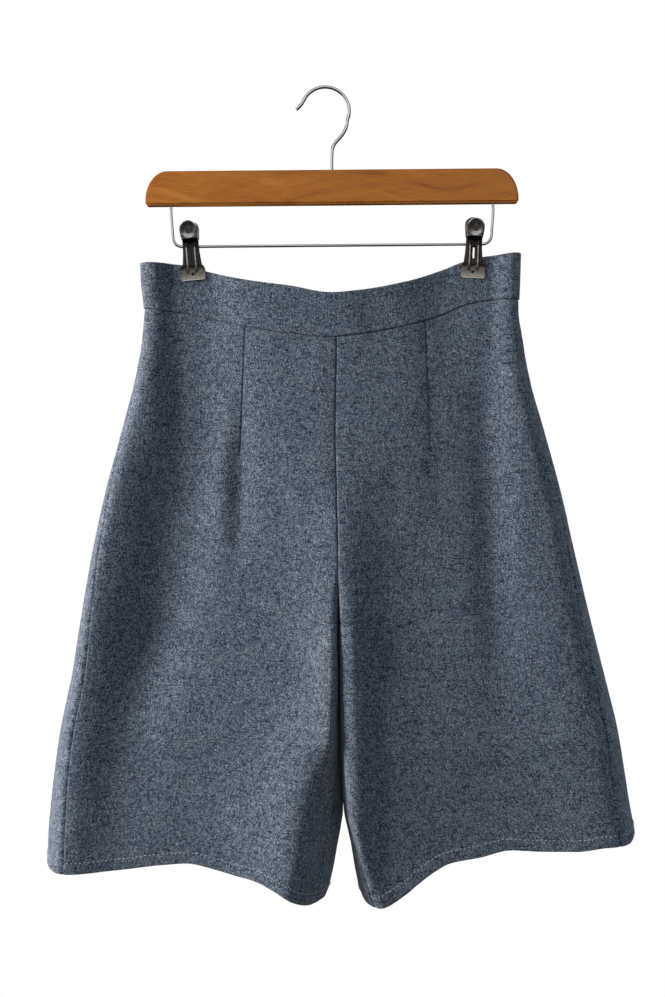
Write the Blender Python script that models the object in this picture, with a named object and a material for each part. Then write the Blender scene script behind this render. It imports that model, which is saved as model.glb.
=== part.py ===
"""Knee-length culottes, hung by two clips from a wooden hanger.

Sizes are in millimetres, and MM turns them into metres. A drop is a height: the distance below the hook
seat, which is the origin. +X is the wearer's left, -Y is the front and +Z is up. Left and right are the
wearer's own.

The cloth is a form with two halves. A half is a stack of rings, one at each drop. Above the crotch a ring
is half of the body's, from the front seam over the side to the back seam. Below it, a ring is a whole leg.
A place on the cloth is a share of the way round its ring, a drop, and an inset below the outer face.
"""

import math

import bmesh
import bpy
import numpy as np
from mathutils import Matrix, Vector

MM = 0.001

# Cloth and seams
PANEL_THICK = 1.2
HEM_THICK = 2.4
HEM_TURN = 13.0
BAND_PROUD = 0.4
BAND_THICK = 2.0
SEAM_GAP = 0.3
CLIPPED_DEPTH = 2.1
CLIPPED_EDGE = 10.0

# Crotch seam: it leaves the front and back faces at its own drops and runs under at the crotch
FRONT_CURVE_DROP = 455.0
BACK_CURVE_DROP = 415.0
CROTCH_DROP = 530.0
CROTCH_EASE = 6.0

# How finely the form is worked out, and the grids that the solids take from it
RING_SAMPLES = 60
RING_SHARES = 241
LEVEL_STEP = 4.0
TOP_LEVEL = 150.0
LOW_LEVEL = 830.0
CORE_INSET = 2.0
WAIST_LEVEL = 235.0
HEM_LEVEL = 780.0
PANEL_COLUMNS = 16
PANEL_ROWS = ((0, 0.36, 6), (0.36, 0.60, 7), (0.60, 0.97, 7))
HEM_STEP = 0.002
BAND_ROWS = 4

# Hanger
HANGER_TILT = math.radians(0.5)
HANGER_SHIFT = -1.0
BAR_HALF = 186.0
BAR_TOP = 81.0
BAR_BOTTOM = 115.0
BAR_THICK = 13.0
BAR_TOP_CORNER = (24.0, 25.0)
BAR_BOTTOM_CORNER = 3.0
BAR_EDGE = 2.2
HOOK_WIRE = 3.4
HOOK_RADIUS = 24.0
HOOK_CENTRE = (-6.0, 21.2)
HOOK_SHANK = 14.0
RAIL_WIRE = 2.8
RAIL_HALF_TOP = 161.0
RAIL_HALF = 158.5
RAIL_DROP = 155.7
RAIL_CORNER = 9.0
RAIL_SHANK = 8.0
WIRE_CLEARANCE = 0.3

# Clips
CLIP_THICK = 1.0
CLIP_DISC_DROP = 139.8
CLIP_DISC_RADIUS = 8.7
CLIP_DISH = 1.6
CLIP_RIB_OUT = 4.1
CLIP_RIB_HEIGHT = 1.1
CLIP_RIB_WIDTH = 1.3
CLIP_SLOT = (2.6, 157.5, 173.0)
CLIP_COLUMNS = 10
SPRING_RADIUS = 3.5
SPRING_LENGTH = 11.0

# Zip in the centre back seam
ZIP_LENGTH = 200.0
TAPE_WIDTH = 11.0
TAPE_THICK = 0.8
TAPE_GAP = 0.95
TAPE_BACK = 0.4
TAPE_ROWS = 18
SLIDER_DROP = 209.0
SLIDER_BODY = (5.6, 2.2, 9.0)
NECK_THICK = 1.2
NECK_GAP = 0.9
NECK_ROUND = 1.9
NECK_CLEAR = 5.4
NECK_EASE = 9.0
PULL_AXIS_OUT = 2.4
PULL_HOLE = 0.9
PULL_PIN = 0.55
PULL_THICK = 1.0
PULL_LENGTH = 21.0
PULL_TOP_HALF = 1.9
PULL_TIP_RADIUS = 3.0
PULL_START = 2.3
PULL_EAR = (0.95, 1.9)
PULL_EAR_RADIUS = 1.3


def table(columns, *rows):
    """Rows of numbers as one array for each named column."""
    return dict(zip(columns.split(), np.array(rows, float).T))


# A row for each section. right and left are the outer edges' distances from the stem. centre is where the
# two halves meet. front and back are half depths. side_* and inner_* are how far the depth takes to round
# away. seam is how far the side seam lies in from the edge, and inseam_* the same at the inner edge.
SECTIONS = table(
    "drop right left centre front back side_right side_left inner_right inner_left seam inseam_right inseam_left",
    (150, 192, 189, 5.0, 12, 13, 24, 24, 10, 10, 0.0, 0, 0),
    (190, 191, 188, 5.0, 13, 14, 24, 24, 10, 10, 0.0, 0, 0),
    (222, 188, 187, 4.6, 14, 14, 24, 24, 10, 10, 0.0, 0, 0),
    (245, 189.5, 190, 4.3, 15.5, 14.5, 20, 22, 10, 10, 0.0, 0, 0),
    (290, 197, 198, 4.0, 21, 20, 18, 22, 10, 10, 0.5, 0, 0),
    (340, 209.5, 211.5, 3.0, 26, 27, 17, 22, 10, 10, 3.0, 0, 0),
    (400, 225.5, 228, 4.5, 30, 34, 17, 24, 10, 10, 6.0, 0, 0),
    (460, 238.5, 241.5, 5.8, 33, 38, 17, 26, 10, 10, 9.0, 0, 0),
    (520, 249, 255.5, 6.2, 35, 39, 18, 28, 6, 9, 12.0, 0, 0),
    (580, 258.5, 270.5, 6.7, 37, 39, 20, 30, 4, 9, 15.0, 0, 0),
    (640, 270.5, 285, 7.8, 39, 40, 22, 32, 11, 11, 17.0, 0, 0),
    (700, 278.5, 294.5, 10.5, 41, 41, 24, 32, 38, 13, 20.0, 8, 2),
    (750, 282.5, 302, 12.3, 42, 42, 26, 32, 44, 17, 22.0, 13, 5),
    (810, 283.5, 304, 12.0, 42, 42, 26, 32, 50, 22, 22.0, 11, 11),
)

# Half the space between the legs
LEG_GAP = table(
    "drop half",
    (500, 0.15),
    (690, 0.25),
    (718, 0.4),
    (735, 3.0),
    (750, 6.0),
    (770, 9.5),
    (790, 13.5),
    (815, 21.0),
)

# The waistband's edges, at each distance from the stem
WAIST = table(
    "x top seam",
    (-191, 173.5, 219),
    (-167, 174, 221.5),
    (-146, 176, 223.5),
    (-126, 181.5, 228),
    (-83, 192, 238),
    (-41, 198, 245),
    (-2, 204.5, 248.5),
    (26, 202, 245.5),
    (75, 192.5, 236),
    (110, 181, 225.5),
    (130, 173, 216.5),
    (151, 167.5, 211.5),
    (173, 165, 210),
    (190, 165, 210),
)

# The hem's edge, at each distance from the stem
HEM = table(
    "x drop",
    (-284, 775),
    (-272, 778),
    (-250, 776.5),
    (-210, 770.5),
    (-170, 765),
    (-142, 763),
    (-113, 768.5),
    (-94, 773),
    (-74, 776.5),
    (-54, 784),
    (-34, 794.5),
    (-10, 805.5),
    (34, 806),
    (44, 796),
    (54, 787),
    (68, 783),
    (82, 777.5),
    (100, 767.5),
    (120, 761),
    (150, 756),
    (180, 749.5),
    (210, 751),
    (240, 751),
    (270, 747),
    (292, 746),
    (303, 740.5),
)

# How hard the clips pinch the cloth, over how wide a stretch, and how softly it lets go on each side
PINCH = table(
    "drop hold_right hold_left flat inward_right inward_left outward",
    (150, 1.0, 1.0, 18, 16, 30, 15),
    (195, 1.0, 1.0, 18, 24, 36, 16),
    (245, 0.84, 0.70, 13, 36, 42, 21),
    (330, 0.54, 0.30, 6, 48, 46, 24),
    (430, 0.26, 0.12, 3, 54, 48, 28),
    (580, 0.0, 0.0, 0, 60, 50, 32),
)
GRIPS = {"right": -139.3, "left": 140.6}

# The clips' places along the rail, and how far the cloth's pull leans them inwards
CLIPS = {"right": -141.5, "left": 141.6}
CLIP_LEAN = {"right": math.radians(4.3), "left": math.radians(-3.1)}

# A row for each large fold: where its line starts and ends, its half width, and its height, which is
# negative in a trough. The fades are how far it takes to rise and to die away.
FOLD_COLUMNS = "half face drop_top drop_low x_top x_low width height fade_top fade_low".split()
FOLDS = [
    dict(zip(FOLD_COLUMNS, row))
    for row in (
        # Darts, which end in a soft hollow
        ("right", "front", 290, 500, -87, -93, 11, -4.5, 70, 100),
        ("right", "front", 310, 500, -108, -112, 13, 5.0, 70, 100),
        ("left", "front", 250, 470, 100, 106, 10, -2.5, 60, 100),
        ("right", "back", 225, 450, -84, -90, 11, -4.5, 50, 100),
        ("left", "back", 225, 450, 90, 96, 11, -4.5, 50, 100),
        # Fullness at the centre seams. It is the same on both halves, so that their edges meet
        ("both", "front", 140, 480, 2, 4, 80, 3.0, 1, 160),
        ("both", "front", 300, 640, 6, 8, 44, 7.0, 160, 110),
        ("both", "front", 380, 640, 12, 12, 24, 5.5, 100, 110),
        ("both", "back", 300, 640, 4, 8, 62, 5.0, 120, 110),
        # Right front: a hollow from the clip to the side of the hem, and a full inner leg
        ("right", "front", 322, 650, -142, -166, 36, -9.0, 110, 200),
        ("right", "front", 322, 700, -112, -136, 84, -6.0, 110, 200),
        ("right", "front", 450, 790, -160, -224, 36, -10.0, 150, 160),
        ("right", "front", 450, 790, -122, -182, 88, -5.0, 150, 160),
        ("right", "front", 560, 840, -238, -262, 28, 8.0, 120, 20),
        ("right", "front", 490, 740, 12, 0, 25, 18.0, 90, 90),
        ("right", "front", 560, 840, -10, -36, 40, 14.0, 120, 20),
        ("right", "front", 630, 840, -34, -40, 58, 14.0, 120, 20),
        ("right", "front", 636, 840, 0, -8, 20, -13.0, 30, 20),
        # Left front: a full inner leg, a hollow under the clip, and a soft ridge at the side
        ("left", "front", 520, 840, 18, 26, 21, 5.5, 130, 20),
        ("left", "front", 500, 840, 16, 24, 130, 12.0, 160, 20),
        ("left", "front", 240, 660, 150, 168, 20, -6.5, 80, 180),
        ("left", "front", 460, 740, 214, 240, 26, 3.0, 110, 140),
        ("left", "front", 560, 840, 252, 280, 60, 4.0, 130, 20),
        # Right back
        ("right", "back", 300, 840, -144, -214, 38, -9.0, 120, 200),
        ("right", "back", 500, 840, -8, -38, 34, 8.0, 90, 20),
        ("right", "back", 430, 840, -76, -104, 34, -4.0, 140, 40),
        # Left back
        ("left", "back", 260, 840, 140, 226, 36, -9.0, 120, 200),
        ("left", "back", 500, 840, 18, 42, 30, 8.0, 90, 20),
        ("left", "back", 460, 840, 92, 122, 30, -4.5, 120, 40),
    )
]


def smooth(at, knots, values):
    """A smooth curve through the knots, level past both ends, that doesn't overshoot them."""
    step = np.diff(knots)
    slope = np.diff(values) / step
    tangent = np.zeros(len(values))
    product = slope[:-1] * slope[1:]
    total = slope[:-1] + slope[1:]
    tangent[1:-1] = np.where(product > 0, 2 * product / np.where(total == 0, 1, total), 0)
    at = np.clip(at, knots[0], knots[-1])
    i = np.clip(np.searchsorted(knots, at, side="right") - 1, 0, len(step) - 1)
    t = (at - knots[i]) / step[i]
    rise = values[i] + (3 * t**2 - 2 * t**3) * (values[i + 1] - values[i])
    return rise + step[i] * ((t**3 - 2 * t**2 + t) * tangent[i] + (t**3 - t**2) * tangent[i + 1])


def read(rows, column, at, key="drop"):
    return smooth(at, rows[key], rows[column])


def ramp(value):
    """0 to 1 with level ends, as the value goes from 0 to 1."""
    value = np.clip(value, 0, 1)
    return value * value * (3 - 2 * value)


def dome(value):
    """A quarter round: steep at 0 and level from 1 on."""
    return np.sqrt(np.clip(1 - (1 - np.clip(value, 0, 1)) ** 2, 0, 1))


def turned_in(drop, start):
    """How far the crotch seam has turned from the outer face, 0, to the crotch, 1."""
    share = np.clip((drop - start) / (CROTCH_DROP - start), 0, 1)
    return 1 - np.sqrt(1 - share**2)


def folds(half, face, x, drop):
    """The height of the large folds."""
    height = np.zeros(np.broadcast(x, drop).shape)
    for fold in FOLDS:
        if fold["half"] not in (half, "both") or fold["face"] != face:
            continue
        along = (drop - fold["drop_top"]) / (fold["drop_low"] - fold["drop_top"])
        line = fold["x_top"] + (fold["x_low"] - fold["x_top"]) * along
        rise = ramp((drop - fold["drop_top"]) / fold["fade_top"])
        rise = rise * ramp((fold["drop_low"] - drop) / fold["fade_low"])
        height = height + fold["height"] * rise * np.exp(-(((x - line) / fold["width"]) ** 2))
    return height


class Half:
    """One half of the garment's form."""

    def __init__(self, name):
        self.name = name
        self.side = 1 if name == "left" else -1
        self.levels = np.arange(TOP_LEVEL, LOW_LEVEL, LEVEL_STEP)
        self.skin, self.length, self.side_share, self.inseam_share = self.rings(0.0)
        self.core = self.rings(CORE_INSET)[0]

    def depth(self, face, out, drop, inner, outer, inset):
        """Half depth of the cloth, out from the centre line."""
        start = FRONT_CURVE_DROP if face == "front" else BACK_CURVE_DROP
        x = read(SECTIONS, "centre", drop) + self.side * out
        from_grip = self.side * (x - GRIPS[self.name])
        past = np.maximum(np.abs(from_grip) - read(PINCH, "flat", drop), 0)
        inward_soft = read(PINCH, "inward_" + self.name, drop)
        soft = np.where(from_grip > 0, read(PINCH, "outward", drop), inward_soft)
        pinch = read(PINCH, "hold_" + self.name, drop) * np.exp(-((past / soft) ** 2))
        round_off = dome((outer - out) / (read(SECTIONS, "side_" + self.name, drop) - inset))
        tight = dome((outer - out) / CLIPPED_EDGE)
        turned = turned_in(drop, start)
        inward = 1 - turned * (1 - dome((out - inner) / read(SECTIONS, "inner_" + self.name, drop)))
        full = (read(SECTIONS, face, drop) - inset) * round_off * (1 - pinch)
        held = (CLIPPED_DEPTH - inset) * tight * pinch
        return (full + held + folds(self.name, face, x, drop) * round_off * (1 - pinch)) * inward

    def rings(self, inset):
        """The rings' points, lengths and seam shares, a row for each level."""
        drop = self.levels[:, None]
        centre = read(SECTIONS, "centre", drop)
        outer = read(SECTIONS, self.name, drop) - self.side * centre - inset
        inner = read(LEG_GAP, "half", drop) + inset * np.sqrt(turned_in(drop, FRONT_CURVE_DROP))
        sample = (1 - np.cos(np.linspace(0, math.pi, RING_SAMPLES))) / 2
        out = inner + (outer - inner) * sample
        front = self.depth("front", out, drop, inner, outer, inset)
        back = self.depth("back", out, drop, inner, outer, inset)
        x = np.hstack([out, out[:, -2::-1]])
        y = np.hstack([-front, back[:, -2::-1]])
        run = np.hypot(np.diff(x), np.diff(y)).cumsum(axis=1)
        run = np.hstack([np.zeros((len(run), 1)), run])
        shares = np.linspace(0, 1, RING_SHARES)
        seam = outer - read(SECTIONS, "seam", drop)
        inseam = inner + read(SECTIONS, "inseam_" + self.name, drop)
        points = np.zeros((len(drop), RING_SHARES, 2))
        side_share = np.zeros(len(drop))
        inseam_share = np.zeros(len(drop))
        for i, ring in enumerate(run):
            points[i, :, 0] = centre[i, 0] + self.side * np.interp(shares * ring[-1], ring, x[i])
            points[i, :, 1] = np.interp(shares * ring[-1], ring, y[i])
            faced = slice(0, RING_SAMPLES)
            side_share[i] = np.interp(seam[i, 0], x[i, faced], ring[faced]) / ring[-1]
            inseam_share[i] = np.interp(inseam[i, 0], x[i, faced], ring[faced]) / ring[-1]
        return points, run[:, -1], side_share, inseam_share

    def point(self, share, drop, inset):
        """Points of the form, as X, Y and Z."""
        share = np.asarray(share, float)
        share = np.where(share > 1, share - 1, share)
        row = np.clip((drop - TOP_LEVEL) / LEVEL_STEP, 0, len(self.levels) - 1.001)
        column = np.clip(share * (RING_SHARES - 1), 0, RING_SHARES - 1.001)
        i, j = row.astype(int), column.astype(int)
        u, v = (row - i)[..., None], (column - j)[..., None]
        found = []
        for form in (self.skin, self.core):
            upper = form[i, j] * (1 - v) + form[i, j + 1] * v
            lower = form[i + 1, j] * (1 - v) + form[i + 1, j + 1] * v
            found.append(upper * (1 - u) + lower * u)
        flat = found[0] + (found[1] - found[0]) * (np.asarray(inset, float) / CORE_INSET)[..., None]
        return np.dstack([flat, -drop])

    def at_level(self, values, drop):
        return np.interp(drop, self.levels, values)


def shares_between(half, face, u, drop):
    """The shares of the way round that lie between a panel's two seams."""
    seam = half.at_level(half.side_share, drop)
    inseam = half.at_level(half.inseam_share, drop)
    edge = SEAM_GAP / 2 / half.at_level(half.length, drop)
    inner_edge = edge * ramp((drop - CROTCH_DROP) / CROTCH_EASE + 1)
    if face == "front":
        start, end = inseam + inner_edge, seam - edge
    else:
        start, end = seam + edge, 1 + inseam - inner_edge
    return start + (end - start) * u


def edge_line(half, face, rows, column, level):
    """A waist or hem line's drop at each column of a panel's grid, read at the X it has at a level."""
    u = np.linspace(0, 1, PANEL_COLUMNS + 1)[None, :]
    drop = np.full(u.shape, level)
    x = half.point(shares_between(half, face, u, drop), drop, np.zeros(u.shape))[..., 0]
    return u, read(rows, column, x, "x")


def leg_panel(half, face):
    """A leg panel from the waist seam to the hem, as an outer and an inner grid."""
    u, seam = edge_line(half, face, WAIST, "seam", WAIST_LEVEL)
    hem = edge_line(half, face, HEM, "drop", HEM_LEVEL)[1]
    top = seam + SEAM_GAP / 2
    turn = 1 - HEM_TURN / (hem - top)
    down = [np.linspace(start, end, count, endpoint=False) for start, end, count in PANEL_ROWS]
    down = np.hstack(down)[:, None] + np.zeros(u.shape)
    down = np.vstack([down, turn, turn + HEM_STEP, np.ones(u.shape)])
    drop = top + (hem - top) * down
    share = shares_between(half, face, u, drop)
    thick = np.full(drop.shape, PANEL_THICK)
    thick[-2:] = HEM_THICK
    return half.point(share, drop, np.zeros(drop.shape)), half.point(share, drop, thick)


def band_part(half, face, gap=None):
    """A stretch of the waistband, from its top edge to the waist seam, as an outer and an inner grid."""
    u, seam = edge_line(half, face, WAIST, "seam", WAIST_LEVEL)
    top = edge_line(half, face, WAIST, "top", WAIST_LEVEL)[1]
    down = np.linspace(0, 1, BAND_ROWS + 1)[:, None]
    drop = top + (seam - SEAM_GAP / 2 - top) * down
    share = shares_between(half, face, u, drop)
    if gap is not None:
        share[:, -1] -= gap(drop[:, -1]) / half.at_level(half.length, drop[:, -1])
    outer = half.point(share, drop, np.full(drop.shape, -BAND_PROUD))
    inner = half.point(share, drop, np.full(drop.shape, BAND_THICK - BAND_PROUD))
    return outer, inner


def neck_space(drop):
    """How far the centre back edges stand back from the seam to let the slider's neck through."""
    return (NECK_GAP - SEAM_GAP / 2) * ramp(1 - (np.abs(drop - SLIDER_DROP) - NECK_CLEAR) / NECK_EASE)


def material(name, colour, roughness, metallic=0.0):
    made = bpy.data.materials.new(name)
    made.use_nodes = True
    shader = made.node_tree.nodes["Principled BSDF"]
    shader.inputs["Base Color"].default_value = (*colour, 1)
    shader.inputs["Roughness"].default_value = roughness
    shader.inputs["Metallic"].default_value = metallic
    return made


def add_object(name, mesh, finish, parent=None):
    made = bpy.data.objects.new(name, mesh)
    bpy.context.scene.collection.objects.link(made)
    if finish is not None:
        made.data.materials.append(finish)
    made.parent = parent
    return made


def add_mesh(name, shape, finish, parent=None):
    """An object from a bmesh in millimetres, with its faces turned outwards."""
    bmesh.ops.recalc_face_normals(shape, faces=shape.faces)
    bmesh.ops.scale(shape, vec=(MM, MM, MM), verts=shape.verts)
    mesh = bpy.data.meshes.new(name)
    shape.to_mesh(mesh)
    shape.free()
    mesh.shade_smooth()
    mesh.set_sharp_from_angle(angle=math.radians(40))
    return add_object(name, mesh, finish, parent)


def wall(outer, inner):
    """A closed wall between an outer and an inner grid of points."""
    rows, columns = outer.shape[:2]
    shape = bmesh.new()
    sheets = []
    for grid in (outer, inner):
        sheets.append([[shape.verts.new(point) for point in row] for row in grid])
    for k, sheet in enumerate(sheets):
        for i in range(rows - 1):
            for j in range(columns - 1):
                corners = (sheet[i][j], sheet[i][j + 1], sheet[i + 1][j + 1], sheet[i + 1][j])
                shape.faces.new(corners if k == 0 else corners[::-1])
    border = [(0, j) for j in range(columns)]
    border += [(i, columns - 1) for i in range(1, rows)]
    border += [(rows - 1, j) for j in range(columns - 2, -1, -1)]
    border += [(i, 0) for i in range(rows - 2, 0, -1)]
    for here, ahead in zip(border, border[1:] + border[:1]):
        a, b = sheets[0][here[0]][here[1]], sheets[0][ahead[0]][ahead[1]]
        c, d = sheets[1][ahead[0]][ahead[1]], sheets[1][here[0]][here[1]]
        shape.faces.new((b, a, d, c))
    return shape


def add_cutter(target, cutter, operation="DIFFERENCE"):
    """Joins or cuts a helper shape, which isn't part of the object by itself."""
    cutter.hide_render = True
    cutter.display_type = "WIRE"
    change = target.modifiers.new(cutter.name, "BOOLEAN")
    change.operation = operation
    change.object = cutter


def cylinder(radius, start, end, sides=16):
    """A closed cylinder between two points."""
    shape = bmesh.new()
    run = Vector(end) - Vector(start)
    turn = run.to_track_quat("Z", "Y").to_matrix().to_4x4()
    place = Matrix.Translation((Vector(start) + Vector(end)) / 2) @ turn
    bmesh.ops.create_cone(
        shape, cap_ends=True, segments=sides, radius1=radius, radius2=radius, depth=run.length, matrix=place
    )
    return shape


def block(size, centre):
    shape = bmesh.new()
    place = Matrix.Translation(centre) @ Matrix.Diagonal((*size, 1))
    bmesh.ops.create_cube(shape, size=1, matrix=place)
    return shape


def plate(outline, thick, middle, across="Y"):
    """A flat plate: its outline's points are (X, Z), or (Y, Z) where it lies across X."""
    shape = bmesh.new()
    if across == "Y":
        corners = [shape.verts.new((a, middle - thick / 2, b)) for a, b in outline]
        step = Vector((0, thick, 0))
    else:
        corners = [shape.verts.new((middle - thick / 2, a, b)) for a, b in outline]
        step = Vector((thick, 0, 0))
    face = shape.faces.new(corners)
    moved = bmesh.ops.extrude_face_region(shape, geom=[face])["geom"]
    bmesh.ops.translate(shape, vec=step, verts=[v for v in moved if isinstance(v, bmesh.types.BMVert)])
    return shape


def arc(centre, radii, start, end, count):
    """Points on an ellipse's arc between two angles in degrees."""
    turns = np.radians(np.linspace(start, end, count))
    return [(centre[0] + radii[0] * math.cos(a), centre[1] + radii[1] * math.sin(a)) for a in turns]


def wire(name, points, diameter, finish, parent):
    """A round wire along points in the XZ plane, with closed ends."""
    curve = bpy.data.curves.new(name, "CURVE")
    curve.dimensions = "3D"
    spline = curve.splines.new("POLY")
    spline.points.add(len(points) - 1)
    for place, (x, z) in zip(spline.points, points):
        place.co = (x * MM, 0, z * MM, 1)
    curve.bevel_depth = diameter / 2 * MM
    curve.bevel_resolution = 2
    curve.use_fill_caps = True
    return add_object(name, curve, finish, parent)


def rounded(points, radius, count=6):
    """A line of points with each inner corner rounded."""
    smooth_line = [points[0]]
    for before, corner, after in zip(points, points[1:], points[2:]):
        corner = Vector(corner)
        a = (Vector(before) - corner).normalized()
        b = (Vector(after) - corner).normalized()
        half_angle = a.angle(b) / 2
        reach = radius / math.tan(half_angle)
        middle = corner + (a + b).normalized() * (radius / math.sin(half_angle))
        first = corner + a * reach - middle
        last = corner + b * reach - middle
        for share in np.linspace(0, 1, count):
            spoke = first.slerp(last, float(share))
            smooth_line.append(tuple(middle + spoke.normalized() * radius))
    return smooth_line + [points[-1]]


def make_garment(cloth, tape_cloth):
    halves = {name: Half(name) for name in ("right", "left")}
    for name, half in halves.items():
        for face in ("front", "back"):
            add_mesh(f"{face}_{name}", wall(*leg_panel(half, face)), cloth)
    make_waistband(halves, cloth)
    make_zip_tapes(halves, tape_cloth)


def make_waistband(halves, cloth):
    """The front is one piece from side seam to side seam, and the back is parted for the zip."""
    right = [grid[:, ::-1] for grid in band_part(halves["right"], "front")]
    left = band_part(halves["left"], "front")
    front = [np.hstack([a, b[:, 1:]]) for a, b in zip(right, left)]
    add_mesh("waistband_front", wall(*front), cloth)
    for name, half in halves.items():
        add_mesh(f"waistband_back_{name}", wall(*band_part(half, "back", neck_space)), cloth)


def make_zip_tapes(halves, tape_cloth):
    """The zip's two tapes lie inside the centre back seam."""
    depth = BAND_THICK - BAND_PROUD + TAPE_BACK
    for name, half in halves.items():
        top = float(read(WAIST, "top", 4.0, "x")) + 1.0
        drop = np.repeat(np.linspace(top, top + ZIP_LENGTH, TAPE_ROWS + 1)[:, None], 3, axis=1)
        across = np.linspace(TAPE_GAP + TAPE_WIDTH, TAPE_GAP, 3)[None, :]
        share = 1 - (across - SEAM_GAP / 2) / half.at_level(half.length, drop)
        outer = half.point(share, drop, np.full(drop.shape, depth))
        inner = half.point(share, drop, np.full(drop.shape, depth + TAPE_THICK))
        add_mesh(f"zip_tape_{name}", wall(outer, inner), tape_cloth)


def make_zip(metal):
    """The slider sits inside, at the top of the closed zip. Only its neck and pull tab show."""
    centre = float(read(SECTIONS, "centre", SLIDER_DROP))
    face = float(read(SECTIONS, "back", SLIDER_DROP)) + BAND_PROUD
    inside = face - BAND_THICK - TAPE_BACK - TAPE_THICK - TAPE_BACK
    axis = Vector((centre, face + PULL_AXIS_OUT, -SLIDER_DROP))

    slider = bpy.data.objects.new("slider_place", None)
    bpy.context.scene.collection.objects.link(slider)
    slider.location = axis * MM
    bottom = inside - axis.y
    middle = (0, bottom - SLIDER_BODY[1] / 2, 0)
    neck = [(bottom - 1, NECK_ROUND), *arc((0, 0), (NECK_ROUND, NECK_ROUND), 90, -90, 9), (bottom - 1, -NECK_ROUND)]
    body = add_mesh("zip_slider", block(SLIDER_BODY, middle), metal, slider)
    add_cutter(body, add_mesh("slider_neck", plate(neck, NECK_THICK, 0, "X"), None, slider), "UNION")
    add_cutter(body, add_mesh("slider_hole", cylinder(PULL_HOLE, (-3, 0, 0), (3, 0, 0), 20), None, slider))

    # The pull's origin is its own axis
    tip = -PULL_LENGTH + PULL_TIP_RADIUS
    drop_shape = [(-PULL_TOP_HALF, -PULL_START)]
    drop_shape += arc((0, tip), (PULL_TIP_RADIUS, PULL_TIP_RADIUS), 172, 368, 15)
    drop_shape += [(PULL_TOP_HALF, -PULL_START)]
    pull = add_mesh("zip_pull", plate(drop_shape, PULL_THICK, 0), metal)
    pull.location = axis * MM
    pin = cylinder(PULL_PIN, (-PULL_EAR[1] + 0.2, 0, 0), (PULL_EAR[1] - 0.2, 0, 0), 12)
    add_cutter(pull, add_mesh("pull_pin", pin, None, pull), "UNION")
    for side in (-1, 1):
        ear = arc((0, 0), (PULL_EAR_RADIUS, PULL_EAR_RADIUS), 180, 0, 9)
        ear = [(-PULL_THICK / 2 + 0.05, -PULL_START - 1), *ear, (PULL_THICK / 2 - 0.05, -PULL_START - 1)]
        thick = PULL_EAR[1] - PULL_EAR[0]
        shape = plate(ear, thick, side * (PULL_EAR[0] + PULL_EAR[1]) / 2, "X")
        add_cutter(pull, add_mesh(f"pull_ear_{'left' if side > 0 else 'right'}", shape, None, pull), "UNION")


def make_hanger(wood, chrome, steel):
    hanger = bpy.data.objects.new("hanger_place", None)
    bpy.context.scene.collection.objects.link(hanger)
    hanger.location = (HANGER_SHIFT * MM, 0, 0)
    hanger.rotation_euler = (0, -HANGER_TILT, 0)
    make_bar(wood, hanger)
    make_hook(chrome, hanger)
    make_rail(chrome, hanger)
    for name, x in CLIPS.items():
        make_clip(name, x, CLIP_LEAN[name], steel, hanger)


def make_bar(wood, hanger):
    """The bar's upper corners are long quarter rounds."""
    across, down = BAR_TOP_CORNER
    r = BAR_BOTTOM_CORNER
    outline = arc((BAR_HALF - across, -BAR_TOP - down), (across, down), 0, 90, 9)
    outline += arc((-BAR_HALF + across, -BAR_TOP - down), (across, down), 90, 180, 9)
    outline += arc((-BAR_HALF + r, -BAR_BOTTOM + r), (r, r), 180, 270, 4)
    outline += arc((BAR_HALF - r, -BAR_BOTTOM + r), (r, r), 270, 360, 4)
    shape = plate(outline, BAR_THICK, 0)
    rims = [edge for edge in shape.edges if abs(edge.verts[0].co.y - edge.verts[1].co.y) < 0.1]
    bmesh.ops.bevel(shape, geom=rims, offset=BAR_EDGE, segments=2, affect="EDGES", clamp_overlap=True)
    bar = add_mesh("hanger_bar", shape, wood, hanger)
    hole = HOOK_WIRE / 2 + WIRE_CLEARANCE
    top = cylinder(hole, (0, 0, -BAR_TOP + 5), (0, 0, -BAR_TOP - HOOK_SHANK - WIRE_CLEARANCE))
    add_cutter(bar, add_mesh("hook_hole", top, None, hanger))
    hole = RAIL_WIRE / 2 + WIRE_CLEARANCE
    for side, name in ((-1, "rail_hole_right"), (1, "rail_hole_left")):
        x = side * RAIL_HALF_TOP
        end = -BAR_BOTTOM + RAIL_SHANK + WIRE_CLEARANCE
        low = cylinder(hole, (x, 0, -BAR_BOTTOM - 5), (x, 0, end))
        add_cutter(bar, add_mesh(name, low, None, hanger))


def make_hook(chrome, hanger):
    """A shank, a reverse bend, the round of the hook and a tip that turns out."""
    x, drop = HOOK_CENTRE
    points = [(0, -BAR_TOP - HOOK_SHANK), (0, -80), (0.2, -66), (0.9, -59), (2.8, -54.6)]
    points += [(6.8, -49.9), (11.2, -44.6), (14.9, -37.5)]
    points += arc((x, -drop), (HOOK_RADIUS, HOOK_RADIUS), -22, 156, 17)
    points += [(-31.0, -15.9), (-34.6, -19.4)]
    wire("hanger_hook", points, HOOK_WIRE, chrome, hanger)


def make_rail(chrome, hanger):
    line = [
        (-RAIL_HALF_TOP, -BAR_BOTTOM + RAIL_SHANK),
        (-RAIL_HALF_TOP, -BAR_BOTTOM - 8),
        (-RAIL_HALF, -RAIL_DROP),
        (RAIL_HALF, -RAIL_DROP),
        (RAIL_HALF_TOP, -BAR_BOTTOM - 8),
        (RAIL_HALF_TOP, -BAR_BOTTOM + RAIL_SHANK),
    ]
    bends = rounded(line[1:-1], RAIL_CORNER)
    wire("hanger_rail", [line[0], *bends, line[-1]], RAIL_WIRE, chrome, hanger)


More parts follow.
